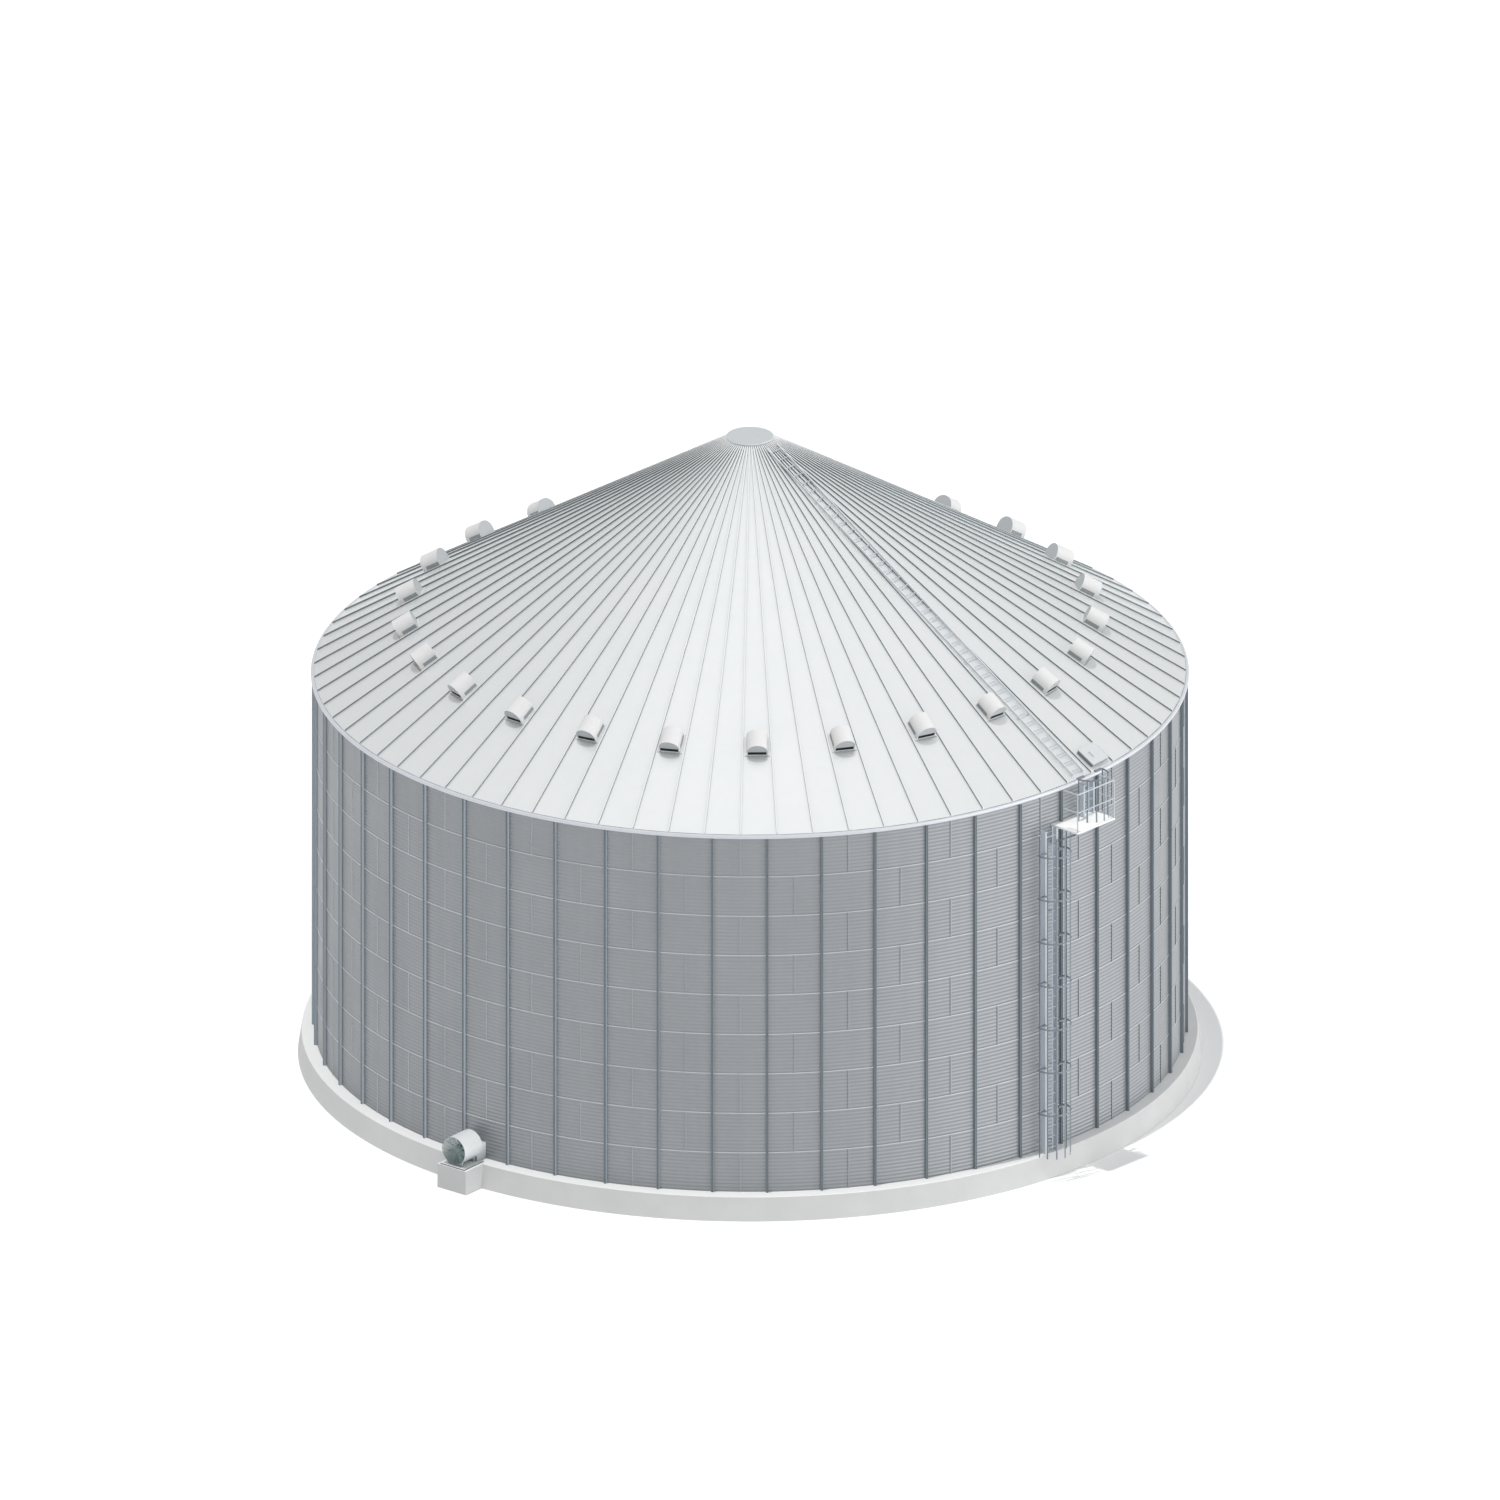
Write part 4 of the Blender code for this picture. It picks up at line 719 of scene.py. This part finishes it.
def rod(bm, start, end, radius, sides=12, look=0):
    """Round bar between two points, with a small chamfer at its ends."""
    along = (end - start).normalized()
    side = along.orthogonal().normalized()
    other = along.cross(side)
    rings = []
    chamfer = min(radius * 0.2, (end - start).length * 0.2)
    turns = [2 * math.pi * i / sides for i in range(sides)]
    near, far = start + along * chamfer, end - along * chamfer
    for spot, size in ((start, 0.85), (near, 1.0), (far, 1.0), (end, 0.85)):
        rings.append([spot + (side * math.cos(t) + other * math.sin(t)) * radius * size for t in turns])
    return loft(bm, rings, look=look)


stile_steel = galvanised_sheet("galvanised roof stile", "#C6CBCF", "#D0D4D8", 0.45, 0.1, 0.3)
rung_steel = galvanised_sheet("galvanised rung", "#A4ACB4", "#B0B8C0", 0.45, 0.3, 0.3)
bm = bmesh.new()
length = (ROOF_LADDER_FOOT - ROOF_LADDER_HEAD) / math.cos(PANEL_PITCH)
half = LADDER_WIDTH / 2
for side in (-1, 1):
    edges = sorted((side * half, side * (half - ROOF_STILE_WIDTH)))
    block(bm, edges, (0.0, length), (ROOF_LADDER_LIFT, ROOF_LADDER_LIFT + ROOF_STILE_DEPTH))
    for foot in ROOF_LADDER_FEET:
        block(bm, edges, (foot - 0.025, foot + 0.025), (0.0, ROOF_LADDER_LIFT))
up_slope = 0.12
middle = ROOF_LADDER_LIFT + ROOF_STILE_DEPTH / 2
while up_slope + 0.03 < length:
    ends = [Vector((x, up_slope, middle)) for x in (0.01 - half, half - 0.01)]
    rod(bm, *ends, RUNG_RADIUS, look=1)
    up_slope += RUNG_PITCH
place = on_panel(ROOF_LADDER_FOOT, ROOF_LADDER_BEARING, 0.0005)
piece("roof_ladder_rails", bm, [stile_steel, rung_steel], ["roof_ladder"], place)


# Wall ladders
# Upright ladders of deep folded stiles with round rungs, bolted to the wall through pairs of
# brackets. The long one climbs from the ring to the deck, the short one from the deck to the eave.

LADDER_INSIDE = 11.57
LADDER_OUTSIDE = 11.75
STILE_WIDTH = 0.05
STILE_GAUGE = 0.006
BRACKET_HALF = 0.025
BRACKET_SPACING = 2.4
BRACKET_END = 0.26
RUNG_SETBACK = 0.035
FIRST_RUNG = 0.135
LADDER_BEARING = 42.4
UPPER_BEARING = 49.3
DECK_TOP = 9.80
UPPER_LADDER_TOP = 10.70

ladder_steel = galvanised_sheet("galvanised ladder section", "#B9C1C9", "#C4CBD3", 0.45, 0.1, 0.3)


def stile(bm, x, low, high):
    """Channel with its web outwards and its flanges towards the rungs."""
    outer = x + math.copysign(STILE_WIDTH / 2, x)
    inner = x - math.copysign(STILE_WIDTH / 2, x)
    wall = math.copysign(STILE_GAUGE, x)
    near, far = -LADDER_INSIDE, -LADDER_OUTSIDE
    shape = (
        (inner, near),
        (outer, near),
        (outer, far),
        (inner, far),
        (inner, far + STILE_GAUGE),
        (outer - wall, far + STILE_GAUGE),
        (outer - wall, near - STILE_GAUGE),
        (inner, near - STILE_GAUGE),
    )
    loft(bm, [[Vector((a, b, z)) for a, b in shape] for z in (low, high)])


def wall_ladder(name, bearing, low, high, node):
    """Stiles, rungs and the bolted brackets of one upright ladder."""
    bm = bmesh.new()
    middle = LADDER_WIDTH / 2 - STILE_WIDTH / 2
    for side in (-1, 1):
        stile(bm, side * middle, low, high)
    height = low + FIRST_RUNG
    while height + RUNG_RADIUS < high:
        y = -LADDER_OUTSIDE + RUNG_SETBACK
        ends = [Vector((side * (LADDER_WIDTH / 2 - 0.002), y, height)) for side in (-1, 1)]
        rod(bm, *ends, RUNG_RADIUS, look=1)
        height += RUNG_PITCH
    spaces = max(1, round((high - low - 0.5) / BRACKET_SPACING))
    for i in range(spaces + 1):
        leg = low + BRACKET_END + (high - low - 2 * BRACKET_END) * i / spaces
        tall = (leg - BRACKET_HALF, leg + BRACKET_HALF)
        for side in (-1, 1):
            x = side * middle
            wide = (x - BRACKET_HALF, x + BRACKET_HALF)
            block(bm, wide, (-LADDER_INSIDE, -WALL_RADIUS - 0.004), tall)
            face = Vector((x + side * BRACKET_HALF, -LADDER_INSIDE + 0.03, leg))
            hex_head(bm, face, Vector((side, 0, 0)))
    place = Matrix.Rotation(math.radians(bearing), 4, "Z")
    piece(name, bm, [ladder_steel, rung_steel], [node], place)


wall_ladder("lower_ladder_rails", LADDER_BEARING, WALL_FOOT, DECK_TOP, "wall_ladder")
wall_ladder("upper_ladder_rails", UPPER_BEARING, DECK_TOP + 0.0003, UPPER_LADDER_TOP, "upper_ladder")


# Safety cages
# Seven upright flat bars bolted inside flat hoops that are bent to half a circle and bolted to the
# ladder's stiles with short arms.

CAGE_CENTRE = 11.80
CAGE_RADIUS = 0.48
CAGE_BARS = 7
BAR_WIDTH = 0.04
BAR_GAUGE = 0.008
HOOP_HEIGHT = 0.045
HOOP_STEPS = 30
ARM_HALF = 0.02
FIRST_HOOP = 1.895
HOOP_PITCH = 1.217
LOWER_HOOPS = 7
CAGE_GREY = "#808992"

cage_steel = galvanised_sheet("galvanised flat bar", "#747D86", CAGE_GREY, 0.45, 0.25, 0.3)


def cage(name, bearing, low, high, hoops, node):
    """Bars, hoops and arms of one cage, with its hoops at the given heights."""
    bm = bmesh.new()

    def spot(turn, radius, height):
        angle = math.radians(turn)
        return Vector((radius * math.sin(angle), -CAGE_CENTRE - radius * math.cos(angle), height))

    half_bar = math.degrees(BAR_WIDTH / 2 / CAGE_RADIUS)
    corners = ((-half_bar, -BAR_GAUGE), (half_bar, -BAR_GAUGE), (half_bar, 0.0), (-half_bar, 0.0))
    for i in range(CAGE_BARS):
        middle = -90.0 + 180.0 * i / (CAGE_BARS - 1)
        loft(bm, [[spot(middle + t, CAGE_RADIUS + r, z) for t, r in corners] for z in (low, high)])
        for hoop in hoops:
            outwards = spot(middle, 1.0, 0.0) - spot(middle, 0.0, 0.0)
            hex_head(bm, spot(middle, CAGE_RADIUS + BAR_GAUGE, hoop), outwards, 0.009, 0.006)
    tall = HOOP_HEIGHT / 2
    corners = ((0.0, -tall), (BAR_GAUGE, -tall), (BAR_GAUGE, tall), (0.0, tall))
    reach = 90.0 + half_bar
    turns = [-reach + 2 * reach * i / HOOP_STEPS for i in range(HOOP_STEPS + 1)]
    for hoop in hoops:
        loft(bm, [[spot(t, CAGE_RADIUS + r, hoop + z) for r, z in corners] for t in turns])
        for side in (-1, 1):
            x = sorted((side * (LADDER_WIDTH / 2 + 0.0003), side * (CAGE_RADIUS - 0.002)))
            y = (-CAGE_CENTRE - 0.004, -LADDER_OUTSIDE + 0.03)
            block(bm, x, y, (hoop - ARM_HALF, hoop + ARM_HALF))
    place = Matrix.Rotation(math.radians(bearing), 4, "Z")
    piece(name, bm, [cage_steel], [node], place, crease=30.0)


hoops = [FIRST_HOOP + HOOP_PITCH * i for i in range(LOWER_HOOPS)]
cage("lower_cage_bars", LADDER_BEARING, RING_TOP, DECK_TOP - 0.052, hoops, "ladder_cage")
cage("upper_cage_bars", UPPER_BEARING, DECK_TOP + 0.0003, 11.01, [10.985], "upper_cage")


# Platform
# Deck of white painted steel plate with a folded edge, carried by two knee braces on the wall, and a
# railing of round galvanised tube with a middle rail, welded at its corners. Below the plate, the
# braces are painted grey as painted shade.

DECK_LEFT = 44.1
DECK_RIGHT = 50.8
DECK_OUTSIDE = 12.37
RAIL_HEIGHT = 1.08
MID_RAIL = 0.55
RAIL_TUBE = 0.018
SIDE_RAIL = 0.45
DECK_PLATE = 0.055
FOOT_PLATE = 0.008
DECK_WHITE = "#F6F6F4"
BRACE_PAINTED_SHADE = "#7C858C"

deck_paint, deck_tree, deck_shader, deck_place = blank_material("white gloss deck paint", roughness=0.42)
dust = add(deck_tree, "ShaderNodeTexNoise", {"Scale": 6.0, "Detail": 4.0}, {"Vector": deck_place})
white = blend_colours(deck_tree, dust.outputs["Fac"], "#F0F0ED", DECK_WHITE)
plate_foot = DECK_TOP - DECK_PLATE
# Everything below the deck plate is painted grey: painted shade.
tint_upwards(deck_tree, deck_shader, "Position", plate_foot - 0.0005, plate_foot + 0.0005, BRACE_PAINTED_SHADE, white)
dress("platform_deck", deck_paint)
railing_steel = galvanised_sheet("galvanised railing tube", "#B4BAC0", "#BFC5CA", 0.45, 0.2, 0.3)

bearing = (DECK_LEFT + DECK_RIGHT) / 2
half = math.radians(DECK_RIGHT - DECK_LEFT) / 2
reach = DECK_OUTSIDE * math.sin(half)
outside = DECK_OUTSIDE * math.cos(half)
bm = bmesh.new()
x, y = reach - RAIL_TUBE, outside - RAIL_TUBE
foot = DECK_TOP + 0.0003
for side in (-1, 1):
    rod(bm, Vector((side * x, -y, foot)), Vector((side * x, -y, DECK_TOP + RAIL_HEIGHT)), RAIL_TUBE)
    across = sorted((side * (x - 0.03), side * (x + RAIL_TUBE)))
    block(bm, across, (-y - RAIL_TUBE, -y + 0.03), (foot, DECK_TOP + FOOT_PLATE))
for height in (DECK_TOP + RAIL_HEIGHT - RAIL_TUBE, DECK_TOP + MID_RAIL):
    rod(bm, Vector((-x, -y, height)), Vector((x, -y, height)), RAIL_TUBE)
    for side in (-1, 1):
        rod(bm, Vector((side * x, -y, height)), Vector((side * x, -y + SIDE_RAIL, height)), RAIL_TUBE)
place = Matrix.Rotation(math.radians(bearing), 4, "Z")
piece("railing_tubes", bm, [railing_steel], ["platform_railing"], place)


# Aeration fan
# Axial fan in a rolled galvanised housing on a base plate, with a motor on four arms, an
# eight-blade impeller with a domed nose, a welded wire guard and a sheet transition to the wall.

FAN_AXIS = 1.11
FAN_RADIUS = 0.382
FAN_FRONT = 12.42
IMPELLER_PLACE = 12.25
HUB_RADIUS = 0.085
HUB_FRONT = 0.055
GUARD_WIRE = 0.004
GUARD_RINGS = (0.05, 0.10, 0.145, 0.19, 0.235, 0.28, 0.325)
GUARD_SPOKES = 16
RIM_WIRE = 0.005
SHAFT_RADIUS = 0.024
NOSE_HEIGHT = 0.032
NOSE_STEPS = 6


def base_plate_paint():
    """Primed plate, pale on top, with its edges painted dark grey as painted shade."""
    made, tree, shader, place = blank_material("primed base plate", roughness=0.55)
    dust = add(tree, "ShaderNodeTexNoise", {"Scale": 7.0, "Detail": 4.0}, {"Vector": place})
    pale = blend_colours(tree, dust.outputs["Fac"], "#D6D9D9", "#DEE0E0")
    # Dark grey for the plate's edges: painted shade.
    edge = blend_colours(tree, dust.outputs["Fac"], "#2E3336", "#3A4043")
    tint_upwards(tree, shader, "Normal", *TOP_FACES, edge, pale)
    return made


def hoop(bm, radius, out, wire, steps, look=0):
    """Wire bent to a ring about the fan's axis."""
    rings = []
    sides = [2 * math.pi * j / 8 for j in range(8)]
    for i in range(steps):
        turn = 2 * math.pi * i / steps
        spoke = Vector((math.sin(turn), 0.0, math.cos(turn)))
        middle = Vector((0.0, -out, FAN_AXIS)) + spoke * radius
        rings.append([middle + (spoke * math.cos(s) + Vector((0, 1, 0)) * math.sin(s)) * wire for s in sides])
    loft(bm, rings, closed=True, look=look)


def turned(bm, profile, steps=32, look=0):
    """Turns (radius, distance) points about the fan's axis; the first and last close the ends."""
    rings = []
    turns = [2 * math.pi * i / steps for i in range(steps)]
    for radius, out in profile:
        rings.append([Vector((radius * math.sin(t), -out, FAN_AXIS + radius * math.cos(t))) for t in turns])
    loft(bm, rings, look=look)


def housing_steel():
    """Bright galvanised sheet, painted greyer towards its underside and feet as painted shade."""
    made = galvanised_sheet("rolled galvanised housing", "#DDE0E1", "#E5E7E7", 0.36, 0.2, 0.2)
    tree = made.node_tree
    shader = tree.nodes["Principled BSDF"]
    housing_tone = shader.inputs["Base Color"].links[0].from_socket
    # Lower part painted grey: painted shade.
    tint_upwards(tree, shader, "Position", 0.73, 1.15, "#8F979A", housing_tone)
    return made


fan_steel = housing_steel()
motor_paint, _, motor_shader, _ = blank_material("grey machine paint", roughness=0.5, metallic=0.1)
motor_shader.inputs["Base Color"].default_value = linear("#596466")
blade_alloy = galvanised_sheet("cast blade alloy", "#8A9D9C", "#95A8A6", 0.42, 0.3)
guard_steel = galvanised_sheet("plated guard wire", "#6F8180", "#7A8B8A", 0.45, 0.3)
for node in ("fan_housing", "fan_duct"):
    dress(node, fan_steel)
dress("fan_motor", motor_paint)
dress("fan_base", base_plate_paint())
dress("fan_impeller", blade_alloy)
fan_place = Matrix.Rotation(math.radians(FAN_BEARING), 4, "Z")

bm = bmesh.new()
face = FAN_FRONT + 0.0003 + GUARD_WIRE
for radius in GUARD_RINGS:
    hoop(bm, radius, face, GUARD_WIRE, 48)
hoop(bm, FAN_RADIUS - 0.006, face + 0.001, RIM_WIRE, 64)
for i in range(GUARD_SPOKES):
    turn = 2 * math.pi * i / GUARD_SPOKES
    spoke = Vector((math.sin(turn), 0.0, math.cos(turn)))
    middle = Vector((0.0, -face - GUARD_WIRE, FAN_AXIS))
    rod(bm, middle + spoke * 0.045, middle + spoke * (FAN_RADIUS - 0.004), GUARD_WIRE, 8)
piece("guard_wires", bm, [guard_steel], ["fan_guard"], fan_place, crease=50.0)

bm = bmesh.new()
base = IMPELLER_PLACE + HUB_FRONT + 0.0003
turns = [math.pi / 2 * i / NOSE_STEPS for i in range(NOSE_STEPS)]
nose = [(max(HUB_RADIUS * math.cos(t), SHAFT_RADIUS), base + NOSE_HEIGHT * math.sin(t)) for t in turns]
turned(bm, [(SHAFT_RADIUS, base), *nose])
piece("impeller_nose", bm, [blade_alloy], (), fan_place, "impeller")


# Studio
# A pale floor; a sky that is brighter above, in front and round the sun; a small high sun, kept out
# of reflections; broad fills that cast no shadows, one of them for reflections only; and the camera,
# which looks down 22 degrees without perspective. Light levels were fitted to the photograph.

ELEVATION = 22.11
VIEW_WIDTH = 39.40
AIM = Vector((0.0, 0.0, 8.545))
SUN_SOURCE = Vector((-0.083, -0.052, 1.0))
SKY_LEVEL = 0.58
SKY_SLOPE = (0.0, -0.063, 0.085)
HAZE_LEVEL = 0.50
HAZE_POWER = 8.0
FLOOR_HALF = 250.0
CAMERA_DISTANCE = 70.0

floor_mesh = bpy.data.meshes.new("studio_floor")
corners = [(x * FLOOR_HALF, y * FLOOR_HALF, 0.0) for x, y in ((-1, -1), (1, -1), (1, 1), (-1, 1))]
floor_mesh.from_pydata(corners, [], [(0, 1, 2, 3)])
floor = bpy.data.objects.new("studio_floor", floor_mesh)
floor.location.z = -0.002
bpy.context.scene.collection.objects.link(floor)
floor_paint, _, floor_shader, _ = blank_material("matt white floor", roughness=0.95)
floor_shader.inputs["Base Color"].default_value = linear("#F4F4F4")
floor_shader.inputs["Specular IOR Level"].default_value = 0.1
floor_mesh.materials.append(floor_paint)

world = bpy.data.worlds.new("even sky")
world.use_nodes = True
bpy.context.scene.world = world
sky = world.node_tree
direction = add(sky, "ShaderNodeTexCoord").outputs["Generated"]
slope = add(sky, "ShaderNodeVectorMath", {"operation": "DOT_PRODUCT", 1: SKY_SLOPE}, {0: direction})
towards_sun = {"operation": "DOT_PRODUCT", 1: SUN_SOURCE.normalized()}
near_sun = add(sky, "ShaderNodeVectorMath", towards_sun, {0: direction})
near_sun = add(sky, "ShaderNodeMath", {"operation": "MAXIMUM", 1: 0.0}, {0: near_sun.outputs["Value"]})
haze = add(sky, "ShaderNodeMath", {"operation": "POWER", 1: HAZE_POWER}, {0: near_sun.outputs[0]})
even = add(sky, "ShaderNodeMath", {"operation": "ADD", 1: SKY_LEVEL}, {0: slope.outputs["Value"]})
both = {0: haze.outputs[0], 2: even.outputs[0]}
level = add(sky, "ShaderNodeMath", {"operation": "MULTIPLY_ADD", 1: HAZE_LEVEL}, both)
background = sky.nodes["Background"]
background.inputs["Color"].default_value = (0.98, 0.99, 1.0, 1.0)
sky.links.new(level.outputs[0], background.inputs["Strength"])

for name, energy, angle, source in (
    ("high sun", 1.7, 0.5, SUN_SOURCE),
    ("front fill", 0.09, 60.0, Vector((-0.35, -1.0, -0.5))),
    ("right fill", 1.35, 60.0, Vector((1.0, -0.25, 0.1))),
    ("right sheen", 1.6, 100.0, Vector((1.0, -0.1, -0.3))),
):
    lamp = bpy.data.lights.new(name, "SUN")
    lamp.energy = energy
    lamp.angle = math.radians(angle)
    made = bpy.data.objects.new(name, lamp)
    made.rotation_euler = source.to_track_quat("Z", "Y").to_euler()
    made.visible_glossy = name != "high sun"
    made.visible_diffuse = name != "right sheen"
    lamp.use_shadow = name == "high sun"
    bpy.context.scene.collection.objects.link(made)

camera_data = bpy.data.cameras.new("camera")
camera_data.type = "ORTHO"
camera_data.ortho_scale = VIEW_WIDTH
camera_data.clip_end = 1000.0
camera = bpy.data.objects.new("camera", camera_data)
tilt = math.radians(ELEVATION)
camera.location = AIM + Vector((0.0, -math.cos(tilt), math.sin(tilt))) * CAMERA_DISTANCE
camera.rotation_euler = (math.pi / 2 - tilt, 0.0, 0.0)
bpy.context.scene.collection.objects.link(camera)
bpy.context.scene.camera = camera
bpy.context.scene.view_settings.view_transform = "Standard"
